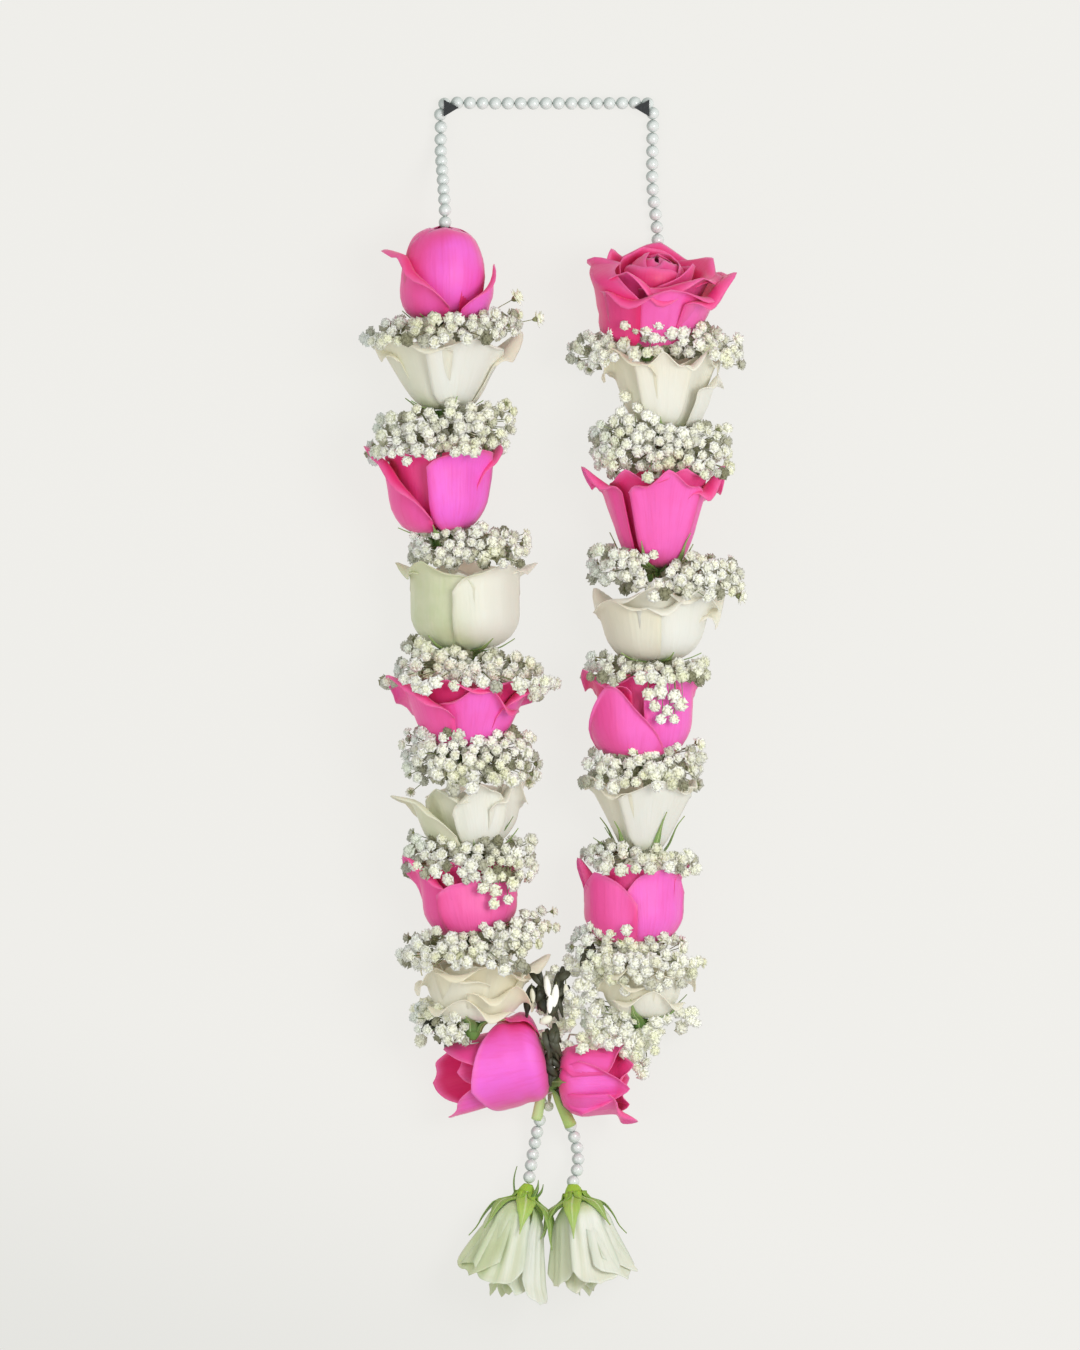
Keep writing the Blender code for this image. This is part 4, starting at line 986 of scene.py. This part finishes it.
def make_breath(name, keys, nodes):
    """The collars of one piece, with the florets that stray from them or lie over a rose."""
    draw = random.Random(name)
    pile = Pile()
    for key in keys:
        centre = add_collar(pile, key, draw)
    for key in keys:
        for spot in STRAYS.get(key, ()):
            way = np.array(spot, float) - centre
            way /= np.linalg.norm(way)
            add_floret(pile, np.array(spot, float), way, STRAY_SIZE, centre, draw)
        for x, y, z in OVERHANGING.get(key, ()):
            root = np.array((x, COLLARS[key][1][1], z - 4.0))
            way = UP + (draw.uniform(-0.5, 0.5), draw.uniform(-0.5, 0.5), 0)
            way /= np.linalg.norm(way)
            spot = np.array((x, y, z), float)
            add_floret(pile, spot, way, draw.uniform(*FLORET_SIZE), root, draw)
    if name == "bottom_spray":
        add_bottom_florets(pile, draw)
        add_bottom_green(pile)
    pile.make(name, nodes, [FLORET, STEM, LEAF])


# Pearls, stops and thread.


def beads_along(route, beads):
    """Centres and directions of so many touching pearls along a line, from its start."""
    fine = curve_through(route, 401)
    run = run_of(fine)
    stops = (np.arange(beads) + 0.5) * PEARL_RADIUS * 2

    def at(distance):
        spot = np.stack([np.interp(distance, run, fine[:, i]) for i in range(3)], axis=-1)
        past = np.maximum(distance - run[-1], 0)[:, None]
        spot = spot + past * (fine[-1] - fine[-2]) / np.linalg.norm(fine[-1] - fine[-2])
        spot[:, 2] = np.maximum(spot[:, 2], PEARL_RADIUS)
        return spot

    return at(stops), at(stops + 1) - at(stops - 1)


def add_pearl(pile, spot, way, tone):
    """One pearl with the small dimples of its drilled hole, palest towards the light."""
    angles = np.linspace(PEARL_HOLE, math.pi - PEARL_HOLE, 13)
    rows = [(math.sin(t), -math.cos(t)) for t in angles]
    profile = np.array([(0, -PEARL_DIMPLE), *rows, (0, PEARL_DIMPLE)]) * PEARL_RADIUS
    turn = turn_to(way)
    step = np.arange(PEARL_SIDES) / PEARL_SIDES * TAU
    ring = np.stack((np.outer([r for r, z in rows], np.cos(step)),
                     np.outer([r for r, z in rows], np.sin(step)),
                     np.repeat([[z] for r, z in rows], PEARL_SIDES, axis=1)), axis=-1)
    ring = ring.reshape(-1, 3)
    facing = np.concatenate((ring, [(0, 0, -1), (0, 0, 1)])) @ turn.T @ TO_LIGHT
    marks = np.stack((smooth(0.0, 0.95, facing), np.full(len(facing), 0.5),
                      np.full(len(facing), tone), np.zeros(len(facing))), axis=1)
    add_lathe(pile, profile, PEARL_SIDES, turn, spot, marks)


def make_pearls(name, node, strands):
    """One strand or both of a pair, with the string through its pearls."""
    draw = random.Random(name)
    pile = Pile()
    for route, beads in strands:
        for spot, way in zip(*beads_along(route, beads)):
            add_pearl(pile, spot, way, draw.random())
        add_tube(pile, curve_through(route, 60), STRING_RADIUS, 6, skin=STRING_SKIN)
    pile.make(name, [node], [PEARL, THREAD])


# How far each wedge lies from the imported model's, outwards, up the garland and off the table,
# how far it is turned in degrees, and how wide its worn edges are.
WEDGE_SHIFT = (2.6, 4.2, 2.6)
WEDGE_TURN = 14
WEDGE_WEAR = 0.7


def make_stop(side):
    """The dark wedge in one top corner of the neck strand, its edges worn round."""
    name = side + "_wedge"
    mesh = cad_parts[side + "_stop"].data.copy()
    mesh.name = name
    mesh.materials.clear()
    mesh.materials.append(STOP)
    outward = -1 if side == "left" else 1
    middle = sum((v.co for v in mesh.vertices), Vector()) / len(mesh.vertices)
    swing = Matrix.Rotation(math.radians(WEDGE_TURN * outward), 3, "Z")
    shift = Vector((WEDGE_SHIFT[0] * outward, *WEDGE_SHIFT[1:])) * MM
    for vertex in mesh.vertices:
        vertex.co = swing @ (vertex.co - middle) + middle + shift
    wedge = new_object(name, mesh)
    worn = wedge.modifiers.new("Worn edges", "BEVEL")
    worn.width = WEDGE_WEAR * MM
    worn.segments = 3
    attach(wedge, "root")
    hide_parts(side + "_stop")


def make_thread():
    """The string down both strands to the knot and into the two last roses."""
    pile = Pile()
    for side in ("left", "right"):
        line = []
        for i in range(1, 9):
            rose = BY_NAME[f"{side}_{i}"]
            line += [on_axis(rose, rose.bud + (1 if i > 1 else -5)),
                     on_axis(rose, HIP_TOP - HIP_LENGTH - 1.8)]
        add_tube(pile, [*line, *THREAD_ENDS[side]], THREAD_RADIUS, 8)
    for branch in THREAD_BRANCHES:
        add_tube(pile, branch, THREAD_RADIUS, 8)
    add_lathe(pile, KNOT_PROFILE, 12, np.eye(3), KNOT)
    pile.make("string", ["thread"], [THREAD])


# Materials.


class Value:
    """An output of a material's nodes; arithmetic on it adds Math nodes."""

    def __init__(self, paint, socket):
        self.paint, self.socket = paint, socket

    def _math(self, operation, first, second):
        return self.paint.node("ShaderNodeMath", {"operation": operation}, {0: first, 1: second})

    def __add__(self, other):
        return self._math("ADD", self, other)

    __radd__ = __add__

    def __mul__(self, other):
        return self._math("MULTIPLY", self, other)

    __rmul__ = __mul__

    def __sub__(self, other):
        return self._math("SUBTRACT", self, other)

    def __rsub__(self, other):
        return self._math("SUBTRACT", other, self)

    def __abs__(self):
        return self._math("ABSOLUTE", self, 0)


class Paint:
    """One procedural material under construction."""

    def __init__(self, name, **settings):
        self.material = bpy.data.materials.new(name)
        self.material.use_nodes = True
        self.tree = self.material.node_tree
        self.shader = self.tree.nodes["Principled BSDF"]
        for socket, value in settings.items():
            self.shader.inputs[socket.replace("_", " ")].default_value = value

    def node(self, kind, settings=None, inputs=None, output=0):
        """Adds any node: its settings first, then its inputs' values or links."""
        made = self.tree.nodes.new(kind)
        for key, value in (settings or {}).items():
            setattr(made, key, value)
        for key, value in (inputs or {}).items():
            if isinstance(value, Value):
                self.tree.links.new(value.socket, made.inputs[key])
            elif isinstance(value, tuple) and len(value) == 3 and made.inputs[key].type == "RGBA":
                made.inputs[key].default_value = (*value, 1)
            else:
                made.inputs[key].default_value = value
        return Value(self, made.outputs[output])

    def mark(self, layer, part):
        """One channel of a painted attribute."""
        if part == 3:
            return self.node("ShaderNodeAttribute", {"attribute_name": layer}, output="Alpha")
        whole = self.node("ShaderNodeAttribute", {"attribute_name": layer}, output="Color")
        return self.node("ShaderNodeSeparateColor", None, {0: whole}, output=part)

    def mix(self, share, first, second):
        """A colour between two others."""
        return self.node("ShaderNodeMix", {"data_type": "RGBA"}, {0: share, 6: first, 7: second},
                         output=2)

    def step(self, value, low, high):
        """0 to 1 as a value passes from low to high."""
        return self.node("ShaderNodeMapRange", {"interpolation_type": "SMOOTHSTEP"},
                         {"Value": value, "From Min": low, "From Max": high})

    def noise(self, scale, detail=2.0, place=None):
        """Soft noise from 0 to 1 at a scale per metre."""
        place = place or self.node("ShaderNodeTexCoord", output="Object")
        return self.node("ShaderNodeTexNoise", None,
                         {"Vector": place, "Scale": scale, "Detail": detail})

    def bump(self, height, strength, distance):
        """Raises the surface by a height."""
        bump = self.node("ShaderNodeBump", None,
                         {"Height": height, "Strength": strength, "Distance": distance})
        self.tree.links.new(bump.socket, self.shader.inputs["Normal"])

    def feed(self, socket, value):
        """Links a value to an input of the shader."""
        self.tree.links.new(value.socket, self.shader.inputs[socket])


def petal_veins(paint, along, across):
    """Fine veins that run up a petal and fan out towards its rim."""
    spread = (across - 0.5) * (1.0 - 0.25 * along)
    place = paint.node("ShaderNodeCombineXYZ", None,
                       {"X": spread * 34.0, "Y": along * 2.2, "Z": paint.mark("marks", 2) * 9.0})
    return paint.noise(1.0, 3.0, place)


# A petal's colours: its outside, its painted highlight where it faces the light, its inside, its rim, paler
# as a painted highlight on the rolled edge, its foot, and its painted shade.
PetalColours = namedtuple("PetalColours", "outside lit inside rim foot shade")
PINK = PetalColours(
    outside=(0.94, 0.085, 0.38), lit=(0.96, 0.17, 0.80), inside=(0.84, 0.016, 0.18),
    rim=(0.96, 0.20, 0.50), foot=(0.74, 0.10, 0.22), shade=(0.74, 0.008, 0.13))
WHITE = PetalColours(
    outside=(0.77, 0.76, 0.68), lit=(0.77, 0.77, 0.73), inside=(0.78, 0.76, 0.64),
    rim=(0.82, 0.80, 0.73), foot=(0.56, 0.64, 0.34), shade=(0.66, 0.65, 0.53))
PENDANT = PetalColours(
    outside=(0.68, 0.69, 0.52), lit=(0.80, 0.80, 0.74), inside=(0.56, 0.60, 0.38),
    rim=(0.74, 0.76, 0.70), foot=(0.34, 0.52, 0.06), shade=(0.36, 0.50, 0.36))
WARM_PINK = (0.96, 0.16, 0.38)
GREENS = ((0.40, 0.51, 0.22), (0.54, 0.61, 0.37))
CREAM = (0.78, 0.70, 0.48)


def petal_paint(name, colours, white, painted_glow):
    """Paint of a petal; the marks and hues painted on it say where it gets painted highlight and
    painted shade, and where it is green or cream. The last argument is a painted glow.
    """
    paint = Paint(name, Roughness=0.5, Sheen_Weight=0.25, Sheen_Roughness=0.4,
                  Subsurface_Weight=0.12, Subsurface_Radius=(1.0, 0.6, 0.5),
                  Subsurface_Scale=0.002, Emission_Strength=painted_glow)
    along, across, tone, back = (paint.mark("marks", i) for i in range(4))
    glow, green, cream, depth = (paint.mark("hues", i) for i in range(4))
    veins = petal_veins(paint, along, across)
    mottle = paint.noise(90.0, 3.0)
    edge = abs(across - 0.5) * 2.0
    # Painted highlight where the petal faces the light, warmer pink on a warm pink rose.
    lit = colours.lit if white else paint.mix(cream, colours.lit, WARM_PINK)
    body = paint.mix(glow * (0.55 + 0.6 * mottle), colours.outside, lit)
    # Painted shade at the petal's sides, where the petals overlap, and deep in the rose.
    body = paint.mix(paint.step(edge, 0.72, 1.0) * 0.35 + depth * 0.6, body, colours.shade)
    body = paint.mix(back * 0.85, body, colours.inside)
    # Paler at the rim: a painted highlight along the rolled edge.
    body = paint.mix(paint.step(along, 0.90, 1.0) * 0.55, body, colours.rim)
    body = paint.mix((1.0 - paint.step(along, 0.0, 0.34)) * 0.8, body, colours.foot)
    if white:
        greened = paint.mix(paint.step(mottle, 0.25, 0.8), *GREENS)
        # Green where the petal is not lit and at its foot: partly the rose's own green, partly painted
        # shade.
        left = (1.0 - glow) * green + (1.0 - along) * green * 0.5
        body = paint.mix(paint.step(left, 0.0, 1.0) * 0.8, body, greened)
        body = paint.mix(cream * (0.35 + 0.5 * paint.step(along, 0.3, 1.0)), body, CREAM)
    body = paint.mix(paint.step(veins, 0.45, 0.72) * 0.16, body, colours.shade)
    body = paint.mix(tone * 0.14, body, colours.shade)
    paint.feed("Base Color", body)
    # The emission is a painted glow in the petal's own colour.
    paint.feed("Emission Color", body)
    paint.feed("Roughness", 0.42 + 0.2 * mottle)
    paint.bump(veins + 0.5 * mottle, 0.35, 0.0006)
    return paint.material


# The last number is the strength of each petal's painted glow, which lifts its shade.
PETALS = {
    "pink": petal_paint("pink rose petal", PINK, False, 0.0),
    "white": petal_paint("white rose petal", WHITE, True, 0.06),
    "pendant": petal_paint("pendant petal", PENDANT, True, 0.07),
}


def sepal_paint():
    """Green sepals with fibres and a pale midrib, lime green on the pendants."""
    paint = Paint("rose sepal", Roughness=0.55, Subsurface_Weight=0.1, Subsurface_Scale=0.001)
    along, across, tone = (paint.mark("marks", i) for i in range(3))
    lime, dark = paint.mark("hues", 1), paint.mark("hues", 2)
    fibre = paint.noise(1.0, 2.0, paint.node(
        "ShaderNodeCombineXYZ", None, {"X": across * 22.0, "Y": along * 3.0, "Z": tone * 7.0}))
    plain = paint.mix(along, (0.16, 0.30, 0.07), (0.30, 0.42, 0.14))
    bright = paint.mix(along, (0.36, 0.58, 0.04), (0.46, 0.62, 0.20))
    body = paint.mix(lime, plain, bright)
    # dark is painted shade on a hanging rose's flanking sepals, and darkens the loose sepals.
    body = paint.mix(dark * 0.6, body, (0.09, 0.17, 0.05))
    body = paint.mix(paint.step(fibre, 0.45, 0.75) * 0.35, body, (0.12, 0.24, 0.04))
    body = paint.mix(1.0 - paint.step(abs(across - 0.5), 0.0, 0.10), body, (0.55, 0.68, 0.30))
    paint.feed("Base Color", body)
    paint.bump(fibre + paint.noise(900.0), 0.4, 0.0004)
    return paint.material


def floret_paint():
    """White florets with a yellow-green heart, with painted shade that darkens those low in the
    crowd and turns those at its left blue-grey, and a painted glow.
    """
    paint = Paint("baby's breath petal", Roughness=0.6, Emission_Strength=0.15)
    reach, level, tone = (paint.mark("marks", i) for i in range(3))
    deep, cool_shade = paint.mark("marks", 3), paint.mark("hues", 0)
    patch = paint.noise(60.0, 3.0)
    body = paint.mix(paint.step(reach, 0.1, 0.9), (0.66, 0.68, 0.44), (0.93, 0.93, 0.89))
    body = paint.mix(level * 0.3, body, (0.88, 0.88, 0.74))
    body = paint.mix(paint.step(tone + patch * 0.7, 0.7, 1.4) * 0.6, body, (0.66, 0.64, 0.42))
    body = paint.mix(paint.step(patch, 0.50, 0.68) * 0.45, body, (0.80, 0.83, 0.50))
    # Painted shade: blue-grey at the crowd's left, and dark low in the crowd.
    body = paint.mix(cool_shade * 0.7, body, (0.60, 0.67, 0.66))
    body = paint.mix(deep * 0.9, body, (0.17, 0.165, 0.08))
    paint.feed("Base Color", body)
    # The emission is a painted glow in the floret's own colour, which lifts its shade.
    paint.feed("Emission Color", body)
    paint.bump(paint.noise(1600.0), 0.2, 0.0002)
    return paint.material


def stem_paint():
    """Thin stems, green with brown patches."""
    paint = Paint("baby's breath stem", Roughness=0.6)
    patch = paint.noise(120.0, 3.0)
    tone = paint.mark("marks", 2)
    body = paint.mix(paint.step(patch, 0.3, 0.7), (0.17, 0.23, 0.08), (0.42, 0.48, 0.24))
    body = paint.mix(tone * 0.5, body, (0.30, 0.24, 0.14))
    paint.feed("Base Color", body)
    paint.bump(paint.noise(1500.0), 0.4, 0.0003)
    return paint.material


def leaf_paint():
    """The dark narrow leaves between the strands."""
    paint = Paint("dark leaf", Roughness=0.5)
    patch = paint.noise(140.0, 3.0)
    body = paint.mix(paint.step(patch, 0.3, 0.7), (0.012, 0.014, 0.008), (0.055, 0.060, 0.030))
    body = paint.mix(paint.mark("marks", 2) * 0.4, body, (0.09, 0.09, 0.05))
    paint.feed("Base Color", body)
    paint.bump(patch, 0.4, 0.0004)
    return paint.material


def pearl_paint():
    """Pale glossy pearl, greyer on the side away from the light."""
    paint = Paint("pearl bead", Roughness=0.18, Coat_Weight=0.6, Coat_Roughness=0.08,
                  Specular_IOR_Level=0.6)
    tone = paint.mark("marks", 2)
    cloud = paint.noise(260.0, 3.0)
    body = paint.mix(paint.mark("marks", 0), (0.34, 0.41, 0.38), (0.78, 0.83, 0.80))
    body = paint.mix(0.25 * cloud + 0.1 * tone, body, (0.58, 0.62, 0.58))
    paint.feed("Base Color", body)
    paint.feed("Roughness", 0.14 + 0.12 * cloud)
    paint.bump(paint.noise(700.0), 0.08, 0.0002)
    return paint.material


def stop_paint():
    """Near-black wedges with a fine grain."""
    paint = Paint("dark stop", Roughness=0.45)
    grain = paint.noise(700.0, 4.0)
    paint.feed("Base Color", paint.mix(grain, (0.003, 0.005, 0.006), (0.014, 0.018, 0.020)))
    paint.feed("Roughness", 0.35 + 0.3 * grain)
    paint.bump(grain, 0.5, 0.0003)
    return paint.material


def thread_paint():
    """Pale plied string."""
    paint = Paint("cotton string", Roughness=0.85, Sheen_Weight=0.3)
    place = paint.node("ShaderNodeTexCoord", output="Object")
    ply = paint.node("ShaderNodeTexWave", {"bands_direction": "DIAGONAL"},
                     {"Vector": place, "Scale": 420.0, "Distortion": 1.5})
    body = paint.mix(ply, (0.62, 0.64, 0.52), (0.82, 0.82, 0.74))
    paint.feed("Base Color", body)
    paint.bump(ply, 0.6, 0.0003)
    return paint.material


def floor_paint():
    """The evenly lit backdrop, with a painted shadow that greys it towards its near left corner."""
    paint = Paint("pale table", Roughness=0.9, Specular_IOR_Level=0.0, Emission_Strength=1.0)
    place = paint.node("ShaderNodeTexCoord", output="Object")
    x, y = (paint.node("ShaderNodeSeparateXYZ", None, {0: place}, output=i) for i in range(2))
    # A painted shadow towards the near left corner.
    corner_shadow = paint.step(-1.0 * y - 0.35 * x, 0.20, 0.42)
    patch = paint.noise(3.0, 2.0, place)
    glow = paint.mix(patch, (0.775, 0.768, 0.738), (0.785, 0.778, 0.748))
    glow = paint.mix(corner_shadow * 0.8, glow, (0.68, 0.68, 0.65))
    paint.feed("Base Color", paint.mix(patch, (0.080, 0.079, 0.076), (0.084, 0.083, 0.080)))
    paint.feed("Emission Color", glow)
    paint.bump(paint.noise(900.0, 2.0, place), 0.05, 0.0002)
    return paint.material


SEPAL, FLORET, STEM, LEAF = sepal_paint(), floret_paint(), stem_paint(), leaf_paint()
PEARL, STOP, THREAD = pearl_paint(), stop_paint(), thread_paint()

# The garland.

for rose in ROSES:
    make_rose(rose)
    make_calyx(rose)
for side in ("left", "right"):
    for i in range(1, 8):
        key = f"{side}_{i}"
        make_breath(key + "_spray", [key], [key + "_breath"])
make_breath("bottom_spray", ["left_8", "right_8"], ["bottom_breath"])

make_pearls("neck_strand", "neck_pearls", [(NECK_ROUTE, NECK_BEADS)])
make_pearls("pendant_strands", "pendant_pearls", zip(PENDANT_ROUTES, PENDANT_BEADS))
make_stop("left")
make_stop("right")
make_thread()

# Table, light and camera, in metres. The camera looks straight down from so far that the view
# is almost flat, and its frame has this height and centre at the roses' mean height.

TABLE_HALF = 3
SKY_STRENGTH = 0.58
LIGHT_AIM = (0, 0, 0.03)
CAMERA_HEIGHT = 20.0
FRAME_HEIGHT = 0.6372
VIEW_CENTRE = (-0.0071, 0.0118)
MEAN_HEIGHT = 0.03
SENSOR = 36.0


def look_from(place, aim):
    """A place and turn that looks at a point."""
    way = Vector(aim) - Vector(place)
    turn = way.to_track_quat("-Z", "Y").to_matrix().to_4x4()
    return Matrix.Translation(place) @ turn


def add_light(name, place, size, power):
    """A round soft light that looks at the garland."""
    lamp = bpy.data.lights.new(name, "AREA")
    lamp.shape = "DISK"
    lamp.size = size
    lamp.energy = power
    new_object(name, lamp).matrix_world = look_from(place, LIGHT_AIM)


floor_mesh = bpy.data.meshes.new("table_top")
corners = [(x * TABLE_HALF, y * TABLE_HALF, 0) for x, y in ((-1, -1), (1, -1), (1, 1), (-1, 1))]
floor_mesh.from_pydata(corners, [], [(0, 1, 2, 3)])
floor_mesh.materials.append(floor_paint())
floor = new_object("table_top", floor_mesh)

world = bpy.data.worlds.new("studio")
bpy.context.scene.world = world
world.use_nodes = True
sky = world.node_tree.nodes["Background"]
sky.inputs["Color"].default_value = (1.0, 1.0, 1.0, 1)
sky.inputs["Strength"].default_value = SKY_STRENGTH

add_light("key", (0.75, 0.15, 1.35), 0.8, 12)
add_light("fill", (-0.9, -0.3, 1.2), 1.4, 4)

camera = bpy.data.cameras.new("camera")
camera.sensor_width = SENSOR
camera.lens = SENSOR * (CAMERA_HEIGHT - MEAN_HEIGHT) / FRAME_HEIGHT
camera.clip_end = 2 * CAMERA_HEIGHT
eye = new_object("camera", camera)
eye.location = (*VIEW_CENTRE, CAMERA_HEIGHT)
bpy.context.scene.camera = eye
bpy.context.scene.view_settings.view_transform = "Standard"
